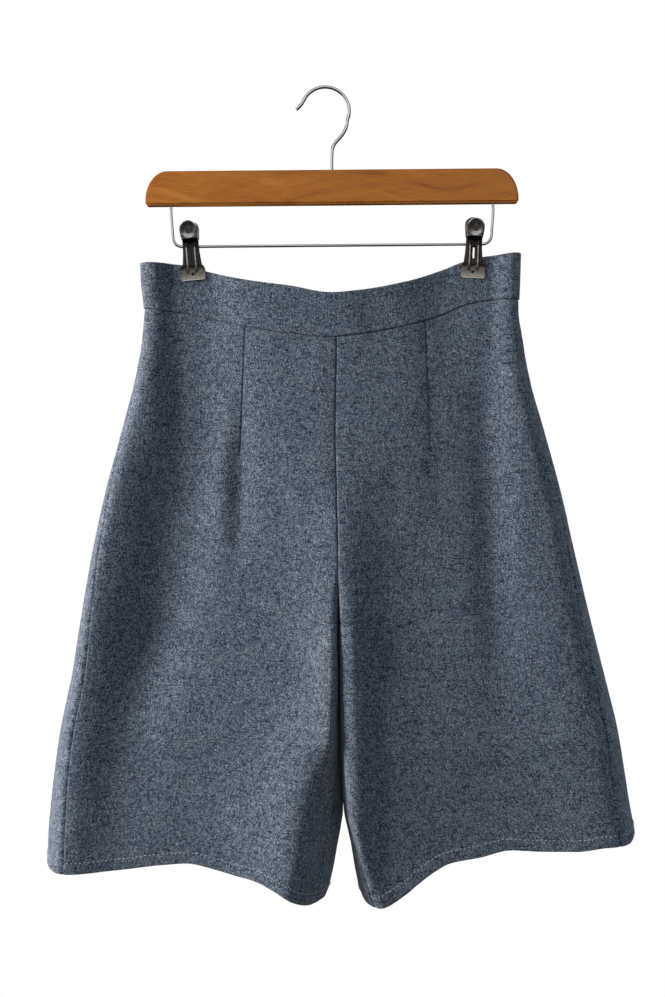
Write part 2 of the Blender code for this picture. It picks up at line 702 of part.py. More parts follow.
# A clip jaw's inner face, from the thumb disc down to the grip
JAW = table(
    "drop out half",
    (131.1, 15.2, 1.5),
    (132.2, 15.0, 4.2),
    (134.2, 14.6, 6.6),
    (137.0, 14.0, 8.2),
    (140.0, 13.3, 8.7),
    (143.0, 12.4, 8.5),
    (146.0, 11.0, 7.9),
    (148.5, 8.4, 7.7),
    (151.0, 5.6, 7.7),
    (154.0, 4.3, 7.8),
    (160.0, 4.1, 8.0),
    (168.0, 4.0, 8.6),
    (174.0, 3.9, 9.4),
    (176.0, 3.7, 11.6),
    (179.0, 3.3, 12.2),
    (187.0, 2.9, 12.3),
    (190.0, 2.9, 11.0),
)


def jaw_grid(outward):
    """A jaw's sheet of metal: dished at the disc, with two ribs down its neck."""
    across = np.linspace(-1, 1, CLIP_COLUMNS + 1)[None, :]
    drop = JAW["drop"][:, None]
    x = JAW["half"][:, None] * across
    from_centre = np.hypot(x, drop - CLIP_DISC_DROP)
    dish = CLIP_DISH * ramp(1.15 - from_centre / CLIP_DISC_RADIUS)
    on_neck = ramp((drop - 151) / 4) * ramp((183 - drop) / 8)
    rib = CLIP_RIB_HEIGHT * on_neck * np.exp(-(((np.abs(x) - CLIP_RIB_OUT) / CLIP_RIB_WIDTH) ** 2))
    out = JAW["out"][:, None] - dish + rib
    z = np.repeat(-drop, across.size, axis=1)
    inner = np.dstack([x, -outward * out, z])
    outer = np.dstack([x, -outward * (out + CLIP_THICK), z])
    return outer, inner


def make_clip(name, x, lean, steel, hanger):
    """Two sprung jaws on the rail, leaning with the pull of the cloth."""
    clip = bpy.data.objects.new(f"clip_place_{name}", None)
    bpy.context.scene.collection.objects.link(clip)
    clip.parent = hanger
    clip.location = (x * MM, 0, -RAIL_DROP * MM)
    clip.rotation_euler = (0, -lean, 0)
    lift = Matrix.Translation((0, 0, RAIL_DROP))
    width, high, low = CLIP_SLOT
    slot_shape = block((width, 40, low - high), (0, 0, RAIL_DROP - (high + low) / 2))
    slot = add_mesh(f"clip_slot_{name}", slot_shape, None, clip)
    for outward, face in ((1, "front"), (-1, "back")):
        shape = wall(*jaw_grid(outward))
        bmesh.ops.transform(shape, matrix=lift, verts=shape.verts)
        add_cutter(add_mesh(f"clip_{face}_jaw_{name}", shape, steel, clip), slot)
    make_spring(name, x, steel, hanger)


def make_spring(name, x, steel, hanger):
    """The spring's coil, round the rail between the jaws."""
    start, end = x - SPRING_LENGTH / 2, x + SPRING_LENGTH / 2
    coil = cylinder(SPRING_RADIUS, (start, 0, -RAIL_DROP), (end, 0, -RAIL_DROP))
    hole = cylinder(RAIL_WIRE / 2 + WIRE_CLEARANCE, (start - 2, 0, -RAIL_DROP), (end + 2, 0, -RAIL_DROP))
    spring = add_mesh(f"clip_spring_{name}", coil, steel, hanger)
    add_cutter(spring, add_mesh(f"spring_hole_{name}", hole, None, hanger))


def main():
    for leftover in list(bpy.data.objects):
        bpy.data.objects.remove(leftover)
    cloth = material("cloth", (0.085, 0.11, 0.145), 0.9)
    tape_cloth = material("zip_tape", (0.05, 0.065, 0.09), 0.85)
    metal = material("zip_metal", (0.35, 0.38, 0.42), 0.4, 1.0)
    wood = material("wood", (0.32, 0.115, 0.02), 0.4)
    chrome = material("chrome", (0.75, 0.75, 0.76), 0.12, 1.0)
    steel = material("clip_steel", (0.32, 0.30, 0.27), 0.3, 1.0)
    make_garment(cloth, tape_cloth)
    make_zip(metal)
    make_hanger(wood, chrome, steel)


main()
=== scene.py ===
"""The looks of knee-length culottes on a wooden clip hanger.

Sizes are in millimetres, and MM turns them into metres. A drop is a height: the distance below the hook
seat, which is the origin. +X is the wearer's left, -Y is the front and +Z is up. Left and right are the
wearer's own.

The cloth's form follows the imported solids', worked out again on a finer grid: two halves, each a stack of
rings. A place on it is a share of the way round its ring, a drop, and an inset below its face.
"""

import math

import bmesh
import bpy
import numpy as np
from mathutils import Matrix, Vector, noise


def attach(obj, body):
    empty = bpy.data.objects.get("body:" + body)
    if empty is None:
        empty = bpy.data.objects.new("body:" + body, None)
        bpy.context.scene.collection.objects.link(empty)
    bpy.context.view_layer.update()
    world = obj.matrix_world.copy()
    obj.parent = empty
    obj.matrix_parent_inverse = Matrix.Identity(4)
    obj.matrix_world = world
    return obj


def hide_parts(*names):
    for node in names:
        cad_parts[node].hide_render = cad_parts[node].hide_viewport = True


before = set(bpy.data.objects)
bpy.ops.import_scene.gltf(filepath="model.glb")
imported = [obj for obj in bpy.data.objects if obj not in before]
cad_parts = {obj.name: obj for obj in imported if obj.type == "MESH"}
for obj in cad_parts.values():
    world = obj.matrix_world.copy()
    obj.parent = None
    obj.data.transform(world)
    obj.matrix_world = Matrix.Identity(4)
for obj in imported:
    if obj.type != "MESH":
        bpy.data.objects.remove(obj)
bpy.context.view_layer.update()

MM = 0.001
GARMENT = "garment"

# Camera: the photograph's own height and distance, level, with a millimetre at the hanger to each pixel
PHOTO_HEIGHT = 997
CAMERA_X = 0.5
CAMERA_DROP = 408.7
CAMERA_DISTANCE = 1400.0
SENSOR = 36.0

# Cloth and seams. An ease is how far a change takes
PANEL_THICK = 1.1
LEAST_THICK = 0.02
HEM_THICK = 2.4
HEM_TURN = 13.0
HEM_TURN_EASE = 0.8
HEM_REACH = 15.0
HEM_STITCH_UP = 11.0
BAND_PROUD = 0.5
BAND_THICK = 2.0
BAND_ROLL = 0.7
SEAM_ROLL = 0.95
GROOVE_HALF_WIDTHS = (0.8, 1.2)
GROOVE_WIDENS_DROP = 480.0
GROOVE_EASE = 120.0
SEAM_DRAW = 3.0
DRAW_EASE = 5.0
CLIPPED_DEPTH = 2.1
CLIPPED_EDGE = 10.0

# Crotch seam: it leaves the front and back faces at its own drops and runs under at the crotch
FRONT_CURVE_DROP = 455.0
BACK_CURVE_DROP = 415.0
CROTCH_DROP = 530.0

# Where the legs press together, and how much tighter their inseams are rounded there
TOUCH_DROPS = (522.0, 716.0)
TOUCH_EASES = (14.0, 20.0)
TOUCH_FLAT = 0.9

# How finely the form is worked out, and the levels where the panels' columns are matched to their edges
RING_SAMPLES = 260
RING_SHARES = 1201
LEVEL_STEP = 1.0
TOP_LEVEL = 150.0
LOW_LEVEL = 830.0
CORE_INSET = 2.0
WAIST_LEVEL = 235.0
HEM_LEVEL = 780.0

# A panel's grid: close lines at its seams and its dart, even ones between, and more rows at the crotch
EDGE_STEPS = (0.0, 0.12, 0.3, 0.55, 0.9, 1.4, 2.2, 3.4, 5.0)
DART_STEPS = (0.0, 0.35, 0.7, 1.1, 1.7, 2.6, 4.0)
DART_REACH = 0.8
DART_SAMPLES = 400
INNER_COLUMNS = 36
OUTER_COLUMNS = 46
PANEL_ROWS = 190
HEM_ROWS = 8
CROTCH_ROWS = (0.4401, 0.5401, 36)
BAND_COLUMNS = 90
BAND_ROWS = 14


def table(columns, *rows):
    """Rows of numbers as one array for each named column."""
    return dict(zip(columns.split(), np.array(rows, float).T))


# A row for each section. right and left are the outer edges' distances from the stem. centre is where the
# two halves meet. front and back are half depths. side_* and inner_* are how far the depth takes to round
# away. seam is how far the side seam lies in from the edge, and inseam_* the same at the inner edge.
SECTIONS = table(
    "drop right left centre front back side_right side_left inner_right inner_left seam "
    "inseam_right inseam_left",
    (150, 192, 189, 5.0, 12, 13, 24, 24, 10, 10, 0.0, 0, 0),
    (190, 191, 188, 5.0, 13, 14, 24, 24, 10, 10, 0.0, 0, 0),
    (222, 188, 187, 4.6, 14, 14, 24, 24, 10, 10, 0.0, 0, 0),
    (245, 189.5, 190, 4.3, 15.5, 14.5, 20, 22, 10, 10, 0.0, 0, 0),
    (290, 197, 198, 4.0, 21, 20, 18, 22, 10, 10, 0.5, 0, 0),
    (340, 209.5, 211.5, 3.0, 26, 27, 17, 22, 10, 10, 3.0, 0, 0),
    (400, 225.5, 228, 4.5, 30, 34, 17, 24, 10, 10, 6.0, 0, 0),
    (460, 238.5, 241.5, 5.8, 33, 38, 17, 26, 3, 3, 9.0, 0, 0),
    (520, 249, 255.5, 6.2, 35, 39, 18, 28, 3, 3, 12.0, 0, 0),
    (580, 258.5, 270.5, 6.7, 37, 39, 20, 30, 4, 4, 15.0, 0, 0),
    (640, 270.5, 285, 7.8, 39, 40, 22, 32, 11, 5, 17.0, 0, 0),
    (700, 278.5, 294.5, 10.5, 41, 41, 24, 32, 38, 8, 20.0, 8, 2),
    (750, 282.5, 302, 12.3, 42, 42, 26, 32, 44, 13, 22.0, 13, 5),
    (810, 283.5, 304, 12.0, 42, 42, 26, 32, 50, 22, 22.0, 11, 11),
)

# Half the space between the legs. It is below 0 where they press together
LEG_GAP = table(
    "drop half",
    (515, 0.0), (545, -0.4), (695, -0.4), (718, 0.3), (735, 3.0),
    (750, 6.0), (770, 9.5), (790, 13.5), (815, 21.0),
)

# The waistband's edges, at each distance from the stem
WAIST = table(
    "x top seam",
    (-191, 173.5, 219), (-167, 174, 221.5), (-146, 176, 223.5), (-126, 181.5, 228), (-83, 192, 238),
    (-41, 198, 245), (-2, 204.5, 248.5), (26, 202, 245.5), (75, 192.5, 236), (110, 181, 225.5),
    (130, 173, 216.5), (151, 167.5, 211.5), (173, 165, 210), (190, 163.4, 210),
)

# The hem's edge, at each distance from the stem
HEM = table(
    "x drop",
    (-284, 768.5), (-272, 771.5), (-250, 772), (-210, 769.5), (-170, 765), (-142, 763), (-113, 768.5),
    (-94, 773), (-74, 776.5), (-54, 784), (-34, 794.5), (-10, 803.5), (34, 804), (44, 801.5), (54, 797),
    (68, 789.5), (82, 780.5), (100, 770), (120, 761), (150, 756), (180, 749.5), (210, 751), (240, 751),
    (270, 747), (292, 746), (303, 740.5),
)

# How hard the clips pinch the cloth, over how wide a stretch, and how softly it lets go on each side
PINCH = table(
    "drop hold_right hold_left flat inward_right inward_left outward",
    (150, 1.0, 1.0, 18, 16, 42, 15),
    (195, 1.0, 1.0, 18, 24, 50, 16),
    (245, 0.84, 0.70, 13, 36, 52, 21),
    (330, 0.54, 0.30, 6, 48, 46, 24),
    (430, 0.26, 0.12, 3, 54, 48, 28),
    (580, 0.0, 0.0, 0, 60, 50, 32),
)
GRIPS = {"right": -139.3, "left": 140.6}

# A row for each fold: the drops and then the distances from the stem where its line starts and ends, its
# half width, its height, which is negative in a trough, and how far it takes to rise and to die away
FOLDS = {
    # Fullness at the centre seams. It is the same on both halves, so that their edges meet
    ("both", "front"): [
        (140, 480, 2, 4, 80, 3.0, 1, 160),
        (300, 640, 6, 8, 44, 7.0, 160, 110),
        (380, 640, 12, 12, 24, 5.5, 100, 110),
    ],
    ("both", "back"): [
        (300, 640, 4, 8, 62, 5.0, 120, 110),
    ],
    # The dart's soft end, a hollow from the clip to the side of the hem, and a full inner leg
    ("right", "front"): [
        (290, 500, -87, -93, 11, -4.5, 70, 100),
        (310, 500, -108, -112, 13, 5.0, 70, 100),
        (322, 650, -148, -184, 36, -13.0, 95, 200),
        (322, 700, -112, -136, 84, -6.0, 110, 200),
        (440, 750, -162, -222, 32, -12.0, 140, 220),
        (450, 780, -122, -180, 88, -5.0, 150, 190),
        (560, 840, -238, -262, 28, 8.0, 120, 20),
        (490, 740, 12, 0, 25, 18.0, 90, 90),
        (560, 840, -10, -36, 40, 14.0, 120, 20),
        (630, 840, -34, -40, 58, 15.5, 120, 20),
        (636, 840, 0, -8, 20, -13.0, 30, 20),
        (480, 720, 6.5, 4.5, 3.8, -8.5, 80, 110),
    ],
    # The dart's soft end, a hollow below the waistband, a full inner leg, and a soft ridge at the side
    ("left", "front"): [
        (250, 470, 100, 106, 10, -1.2, 60, 100),
        (170, 330, 46, 48, 22, -2.4, 12, 90),
        (520, 840, 18, 26, 21, 4.5, 130, 20),
        (480, 820, 19, 26, 12, 6.5, 80, 100),
        (500, 840, 16, 24, 130, 12.0, 160, 20),
        (240, 660, 150, 168, 20, -6.5, 80, 180),
        (460, 740, 214, 240, 26, 3.0, 110, 140),
        (560, 840, 252, 280, 60, 4.0, 130, 20),
    ],
    ("right", "back"): [
        (225, 450, -84, -90, 11, -4.5, 50, 100),
        (300, 840, -144, -214, 38, -9.0, 120, 200),
        (500, 840, -8, -38, 34, 8.0, 90, 20),
        (430, 840, -76, -104, 34, -4.0, 140, 40),
    ],
    ("left", "back"): [
        (225, 450, 90, 96, 11, -4.5, 50, 100),
        (260, 840, 140, 226, 36, -9.0, 120, 200),
        (500, 840, 18, 42, 30, 8.0, 90, 20),
        (460, 840, 92, 122, 30, -4.5, 120, 40),
    ],
}

# Each dart's stitched line: where it starts at the waist seam and ends, the drop of its end, and its intake
DARTS = {
    ("right", "front"): (-86.6, -91.0, 370, 20),
    ("left", "front"): (93.4, 96.8, 366, 20),
    ("right", "back"): (-84.0, -88.5, 348, 24),
    ("left", "back"): (90.0, 93.5, 351, 24),
}

# Where each piece's flat cloth starts across the weave, in metres, so that no two pieces look alike
PANEL_SHIFT = {"right": 1.7, "left": 4.1, "front": 0.0, "back": 9.3}
BAND_SHIFT = {"front": 20.0, "back": 24.0}


def curve(at, knots, values, slopes):
    """A smooth curve through the knots with a slope at each, level past both ends."""
    at = np.clip(at, knots[0], knots[-1])
    i = np.clip(np.searchsorted(knots, at, side="right") - 1, 0, len(knots) - 2)
    step = knots[i + 1] - knots[i]
    t = (at - knots[i]) / step
    rise = values[i] + (3 * t**2 - 2 * t**3) * (values[i + 1] - values[i])
    return rise + step * ((t**3 - 2 * t**2 + t) * slopes[i] + (t**3 - t**2) * slopes[i + 1])


def smooth(at, knots, values):
    """A smooth curve through the knots that doesn't overshoot them."""
    slope = np.diff(values) / np.diff(knots)
    product = slope[:-1] * slope[1:]
    total = slope[:-1] + slope[1:]
    tangent = np.zeros(len(values))
    tangent[1:-1] = np.where(product > 0, 2 * product / np.where(total == 0, 1, total), 0)
    return curve(at, knots, values, tangent)


def read(rows, column, at, key="drop"):
    return smooth(at, rows[key], rows[column])


def ramp(value):
    """0 to 1 with level ends, as the value goes from 0 to 1."""
    value = np.clip(value, 0, 1)
    return value * value * (3 - 2 * value)


def dome(value):
    """A quarter round: steep at 0 and level from 1 on."""
    return np.sqrt(np.clip(1 - (1 - np.clip(value, 0, 1)) ** 2, 0, 1))


def bell(value):
    """1 at 0, falling away smoothly to both sides."""
    return np.exp(-(value**2))


def rounded_edge(distance, radius):
    """How far a rounded edge falls away at a distance from it."""
    return radius * (1 - dome(distance / radius))


def groove(distance, half_width, depth):
    """Heights in a trough along a line, by the distance from it."""
    return -depth * bell(distance / half_width)


def turned_in(drop, start):
    """How far the crotch seam has turned from the outer face, 0, to the crotch, 1."""
    share = np.clip((drop - start) / (CROTCH_DROP - start), 0, 1)
    return 1 - np.sqrt(1 - share**2)


def uneven(points, scale, seed):
    """Smooth random heights, about -1 to 1, that are alike each time. scale is a millimetre size."""
    spots = np.asarray(points, float).reshape(-1, 3) / scale
    found = [noise.noise(Vector((x, y, z + seed))) for x, y, z in spots]
    return np.array(found).reshape(np.shape(points)[:-1])


def folds(half, face, x, drop):
    """The height of the large folds."""
    height = np.zeros(np.broadcast(x, drop).shape)
    for top, low, x_top, x_low, width, rise, fade_top, fade_low in FOLDS["both", face] + FOLDS[half, face]:
        line = x_top + (x_low - x_top) * (drop - top) / (low - top)
        fade = ramp((drop - top) / fade_top) * ramp((low - drop) / fade_low)
        height = height + rise * fade * bell((x - line) / width)
    return height


class Half:
    """One half of the garment's form."""

    def __init__(self, name):
        self.name = name
        self.side = 1 if name == "left" else -1
        self.levels = np.arange(TOP_LEVEL, LOW_LEVEL, LEVEL_STEP)
        self.skin, self.length, self.side_share, self.inseam_share = self.rings(0.0)
        self.core = self.rings(CORE_INSET)[0]

    def depth(self, face, out, drop, inner, outer, inset):
        """Half depth of the cloth, out from the centre line."""
        start = FRONT_CURVE_DROP if face == "front" else BACK_CURVE_DROP
        x = read(SECTIONS, "centre", drop) + self.side * out
        from_grip = self.side * (x - GRIPS[self.name])
        past = np.maximum(np.abs(from_grip) - read(PINCH, "flat", drop), 0)
        inward_soft = read(PINCH, "inward_" + self.name, drop)
        soft = np.where(from_grip > 0, read(PINCH, "outward", drop), inward_soft)
        pinch = read(PINCH, "hold_" + self.name, drop) * bell(past / soft)
        round_off = dome((outer - out) / (read(SECTIONS, "side_" + self.name, drop) - inset))
        tight = dome((outer - out) / CLIPPED_EDGE)
        turned = turned_in(drop, start)
        inward = 1 - turned * (1 - dome((out - inner) / read(SECTIONS, "inner_" + self.name, drop)))
        full = (read(SECTIONS, face, drop) - inset) * round_off * (1 - pinch)
        held = (CLIPPED_DEPTH - inset) * tight * pinch
        return (full + held + folds(self.name, face, x, drop) * round_off * (1 - pinch)) * inward

    def rings(self, inset):
        """The rings' points, lengths and seam shares, a row for each level."""
        drop = self.levels[:, None]
        centre = read(SECTIONS, "centre", drop)
        outer = read(SECTIONS, self.name, drop) - self.side * centre - inset
        inner = read(LEG_GAP, "half", drop) + inset * np.sqrt(turned_in(drop, FRONT_CURVE_DROP))
        sample = (1 - np.cos(np.linspace(0, math.pi, RING_SAMPLES))) / 2
        out = inner + (outer - inner) * sample
        front = self.depth("front", out, drop, inner, outer, inset)
        back = self.depth("back", out, drop, inner, outer, inset)
        x = np.hstack([out, out[:, -2::-1]])
        y = np.hstack([-front, back[:, -2::-1]])
        run = np.hypot(np.diff(x), np.diff(y)).cumsum(axis=1)
        run = np.hstack([np.zeros((len(run), 1)), run])
        shares = np.linspace(0, 1, RING_SHARES)
        seam = outer - read(SECTIONS, "seam", drop)
        inseam = inner + read(SECTIONS, "inseam_" + self.name, drop)
        points = np.zeros((len(drop), RING_SHARES, 2))
        side_share = np.zeros(len(drop))
        inseam_share = np.zeros(len(drop))
        front_part = slice(RING_SAMPLES)
        for i, (ring, along) in enumerate(zip(run, x)):
            points[i, :, 0] = centre[i, 0] + self.side * np.interp(shares * ring[-1], ring, along)
            points[i, :, 1] = np.interp(shares * ring[-1], ring, y[i])
            seams = np.interp((seam[i, 0], inseam[i, 0]), along[front_part], ring[front_part])
            side_share[i], inseam_share[i] = seams / ring[-1]
        return points, run[:, -1], side_share, inseam_share

    def row(self, drop):
        """The level above each drop, and how much of the step to the next one lies between."""
        row = np.clip((drop - TOP_LEVEL) / LEVEL_STEP, 0, len(self.levels) - 1.001)
        return row.astype(int), row - row.astype(int)

    def point(self, share, drop, inset=0.0):
        """Points of the form, as X, Y and Z."""
        share, drop = np.broadcast_arrays(share, drop)
        share = np.where(share > 1, share - 1, share)
        column = np.clip(share * (RING_SHARES - 1), 0, RING_SHARES - 1.001)
        i, u = self.row(drop)
        j = column.astype(int)
        u, v = u[..., None], (column - j)[..., None]
        found = []
        for form in (self.skin, self.core):
            upper = form[i, j] * (1 - v) + form[i, j + 1] * v
            lower = form[i + 1, j] * (1 - v) + form[i + 1, j + 1] * v
            found.append(upper * (1 - u) + lower * u)
        flat = found[0] + (found[1] - found[0]) * (np.asarray(inset) / CORE_INSET)[..., None]
        return np.concatenate([flat, -drop[..., None]], axis=-1)

    def beside_zip(self, across, drop, inset):
        """Points of the back, by their distance from the centre seam."""
        return self.point(1 - across / self.at_level(self.length, drop), drop, inset)

    def at_level(self, values, drop):
        return np.interp(drop, self.levels, values)

    def at_column(self, values, drop):
        """Reads a table with a row for each level and a column for each of the drop grid's columns."""
        i, past = self.row(drop)
        column = np.arange(values.shape[1])[None, :]
        return values[i, column] * (1 - past) + values[i + 1, column] * past


class Panel:
    """A panel's part of its half. A place on it is a distance from its centre seam along the cloth."""

    def __init__(self, half, face):
        self.half = half
        self.face = face
        self.turn, first = (1, 0) if face == "front" else (-1, 1)
        self.start = first + half.inseam_share
        self.width = self.turn * (half.side_share - self.start) * half.length
        self.dart_x, self.dart_x_end, self.dart_end, self.intake = DARTS[half.name, face]
        self.dart_at = self.dart_places()

    def point(self, place, drop, inset=0.0):
        """Points of the panel, as X, Y and Z."""
        run = self.turn * place / self.half.at_level(self.half.length, drop)
        return self.half.point(self.half.at_level(self.start, drop) + run, drop, inset)

    def dart_places(self):
        """Where the dart's line lies at each level. Below its end, the line keeps its part of the width."""
        levels, side = self.half.levels, self.half.side
        slope = (self.dart_x_end - self.dart_x) / (self.dart_end - WAIST_LEVEL)
        found = np.zeros(len(levels))
        for i, (drop, width) in enumerate(zip(levels, self.width)):
            place = np.linspace(0, width * DART_REACH, DART_SAMPLES)
            line = self.dart_x + slope * (min(drop, self.dart_end) - WAIST_LEVEL)
            found[i] = np.interp(side * line, side * self.point(place, drop)[:, 0], place)
        part = found / self.width
        last = np.interp(self.dart_end, levels, part)
        return np.where(levels > self.dart_end, last, part) * self.width

    def columns(self):
        """The columns' places: a row for each level."""
        inner = spread(self.dart_at, EDGE_STEPS, DART_STEPS, evenly(INNER_COLUMNS))
        outer = spread(self.width - self.dart_at, DART_STEPS, EDGE_STEPS, evenly(OUTER_COLUMNS))
        return np.hstack([inner, self.dart_at[:, None] + outer[:, 1:]])

    def edge(self, places, rows, column, level):
        """The drop of one of the panel's edges in each column, which is read near a level."""
        drop = np.full((1, places.shape[1]), level)
        x = self.point(self.half.at_column(places, drop), drop)[..., 0]
        return read(rows, column, x, "x")

    def layers(self, place, drop, thick, relief, *edges):
        """The cloth's two faces, with its relief. Each edge is a distance from it and the radius it has."""
        fall = np.maximum.reduce([rounded_edge(distance, radius) for distance, radius in edges])
        inset = np.maximum(thick - fall, fall + LEAST_THICK)
        return self.point(place, drop, fall - relief), self.point(place, drop, inset - relief)


def evenly(count):
    """Even shares between 0 and 1, without both ends."""
    return np.linspace(0, 1, count + 2)[1:-1]


def spread(width, first, last, shares):
    """Places across each width: fixed steps in from both ends, and shares of the rest between them."""
    width = np.asarray(width)[:, None]
    start = np.array(first)[None, :] + 0 * width
    end = width - np.array(last)[::-1][None, :]
    return np.hstack([start, start[:, -1:] + (end[:, :1] - start[:, -1:]) * shares[None, :], end])


def leg_panel(half, face):
    """A leg panel's outer and inner grid, its cloth coordinates, and its heights above the hem."""
    panel = Panel(half, face)
    places = panel.columns()
    top = panel.edge(places, WAIST, "seam", WAIST_LEVEL)
    hem = panel.edge(places, HEM, "drop", HEM_LEVEL)
    low = (hem - top)[0] - HEM_REACH
    body_rows = np.sort(np.concatenate([evenly(PANEL_ROWS), np.linspace(*CROTCH_ROWS)]))
    body = spread(low, EDGE_STEPS, (0.0,), body_rows)
    turned = spread(np.full(low.shape, HEM_REACH), (0.0,), EDGE_STEPS, evenly(HEM_ROWS))
    down = np.hstack([body, low[:, None] + turned[:, 1:]]).T
    drop = top + down
    up = hem - drop
    place = half.at_column(places, drop)
    from_dart = place - half.at_level(panel.dart_at, drop)

    relief = panel_relief(panel, place, drop, from_dart, down, up)
    thick = PANEL_THICK + (HEM_THICK - PANEL_THICK) * ramp((HEM_TURN - up) / HEM_TURN_EASE)
    edge = np.minimum(place / (1 - TOUCH_FLAT * touching(drop)), half.at_level(panel.width, drop) - place)
    edges = (edge, SEAM_ROLL), (down, SEAM_ROLL), (up, HEM_THICK / 2)
    layers = panel.layers(place, drop, thick, relief, *edges)

    # The groove at the turned-in crotch seam would part the two halves, so both are drawn back together
    centre = read(SECTIONS, "centre", drop[:, :1])
    meets = ramp((CROTCH_DROP + DRAW_EASE - drop) / (2 * DRAW_EASE)) * bell(place / SEAM_DRAW)
    for layer in layers:
        apart = half.side * (layer[:, :1, 0] - centre) - read(LEG_GAP, "half", drop[:, :1])
        layer[..., 0] -= half.side * apart * meets
    return *layers, panel_grain(panel, place, from_dart, drop), up


def touching(drop):
    """1 where the two legs press together, so that their inseams lie flat."""
    return ramp((drop - TOUCH_DROPS[0]) / TOUCH_EASES[0]) * ramp((TOUCH_DROPS[1] - drop) / TOUCH_EASES[1])


def panel_relief(panel, place, drop, from_dart, down, up):
    """What stands proud of the form, in millimetres: seams, dart, hem and the cloth's own unevenness."""
    points = panel.point(place, drop)
    width = panel.half.at_level(panel.width, drop)
    seed = len(panel.half.name) + 10 * len(panel.face)
    relief = 0.22 * uneven(points, 26, seed) + 0.10 * uneven(points, 9, seed + 3)
    # Each seam is a groove in a shallow valley, wider on the leg, with small puckers beside it
    seam = np.minimum(place, width - place)
    open_seam = 1 - touching(drop) * (place < width / 2)
    at_waist, on_leg = GROOVE_HALF_WIDTHS
    half_width = at_waist + (on_leg - at_waist) * ramp((drop - GROOVE_WIDENS_DROP) / GROOVE_EASE)
    puckers = 0.22 * uneven(points * (0.3, 0.3, 1), 9, seed) * bell(seam / 6)
    relief += open_seam * (groove(seam, half_width, depth=1.5) + groove(seam, 4, depth=0.35) + puckers)
    relief += groove(down, 1.2, depth=1.1) + groove(down, 6, depth=0.3)
    # The dart's fold: a sharp groove, with its fuller side towards the middle
    left = np.clip((panel.dart_end - drop) / 30, 0, 1) ** 0.5
    fuller = 0.27 * np.clip(1 + from_dart / 5, 0, 1) * (from_dart < 0)
    relief += left * (groove(from_dart, 0.75, depth=1.2) + groove(from_dart, 4, depth=0.3) + fuller)
    # The turned-up hem: a shallow line at its stitches, and small pulls below them
    pulls = 0.35 * uneven(points * (1, 1, 0.35), 11, seed + 7) * ramp((HEM_STITCH_UP + 8 - up) / 12)
    return relief + groove(up - HEM_STITCH_UP, 1.2, depth=0.28) + 0.3 * ramp((HEM_STITCH_UP - up) / 3) + pulls


def panel_grain(panel, place, from_dart, drop):
    """Where each point lies on the flat cloth, in metres. The cloth that a dart takes up is left out."""
    left = np.clip((panel.dart_end - drop) / (panel.dart_end - WAIST_LEVEL), 0, 1.2)
    across = place - 0.5 * panel.half.at_level(panel.width, drop)
    across = across + np.sign(from_dart) * panel.intake / 2 * left
    shift = PANEL_SHIFT[panel.half.name] + PANEL_SHIFT[panel.face]
    return np.stack([panel.turn * panel.half.side * across * MM + shift, -drop * MM], -1)


def closed_sheet(name, outer, inner, finish, grain=None, tone=None, keep=True):
    """A closed shell between two grids of points, without the cells that keep leaves out. grain says where
    each point lies on the flat cloth, and tone how bright a metal sheet's outer face is painted, with painted
    shade and painted highlights in it."""
    rows, columns = outer.shape[:2]
    count = rows * columns
    index = np.arange(count).reshape(rows, columns)
    cells = np.stack([index[:-1, :-1], index[:-1, 1:], index[1:, 1:], index[1:, :-1]], -1)
    quads = cells[np.broadcast_to(keep, cells.shape[:2])]
    edges = np.concatenate([quads[:, [k, (k + 1) % 4]] for k in range(4)])
    rim = edges[~np.isin(edges @ (count, 1), edges @ (1, count))]
    border = np.hstack([rim[:, ::-1], rim + count])
    faces = np.concatenate([quads, quads[:, ::-1] + count, border])
    used, faces = np.unique(faces, return_inverse=True)
    faces = faces.reshape(-1, 4)
    points = np.concatenate([outer.reshape(-1, 3), inner.reshape(-1, 3)])[used] * MM
    if signed_volume(points, faces) < 0:
        faces = faces[:, ::-1]
    mesh = bpy.data.meshes.new(name)
    mesh.from_pydata(points.tolist(), [], faces.tolist())
    mesh.shade_smooth()
    if grain is not None:
        flat = np.tile(grain.reshape(-1, 2), (2, 1))[used]
        mesh.uv_layers.new(name="grain").uv.foreach_set("vector", flat[faces].astype(np.float32).ravel())
    if tone is not None:
        # The tone, with its painted shade and highlights, goes on the outer face, and a darker copy on the
        # inner face as painted shade
        plating = np.concatenate([tone.ravel(), BACK_PAINTED_SHADE * tone.ravel()])[used]
        mesh.attributes.new("plating", "FLOAT", "POINT").data.foreach_set("value", plating.astype(np.float32))
        mesh.set_sharp_from_angle(angle=math.radians(JAW_SHARP))
    return link(name, mesh, finish)


def signed_volume(points, faces):
    """A measure of the volume inside, which is negative where the faces look inwards."""
    a, b, c, d = (points[faces[:, k]] for k in range(4))
    first = np.einsum("ij,ij->i", a, np.cross(b, c))
    return float((first + np.einsum("ij,ij->i", a, np.cross(c, d))).sum())


def link(name, data, finish=None):
    made = bpy.data.objects.new(name, data)
    bpy.context.scene.collection.objects.link(made)
    if finish is not None:
        made.data.materials.append(finish)
    return made


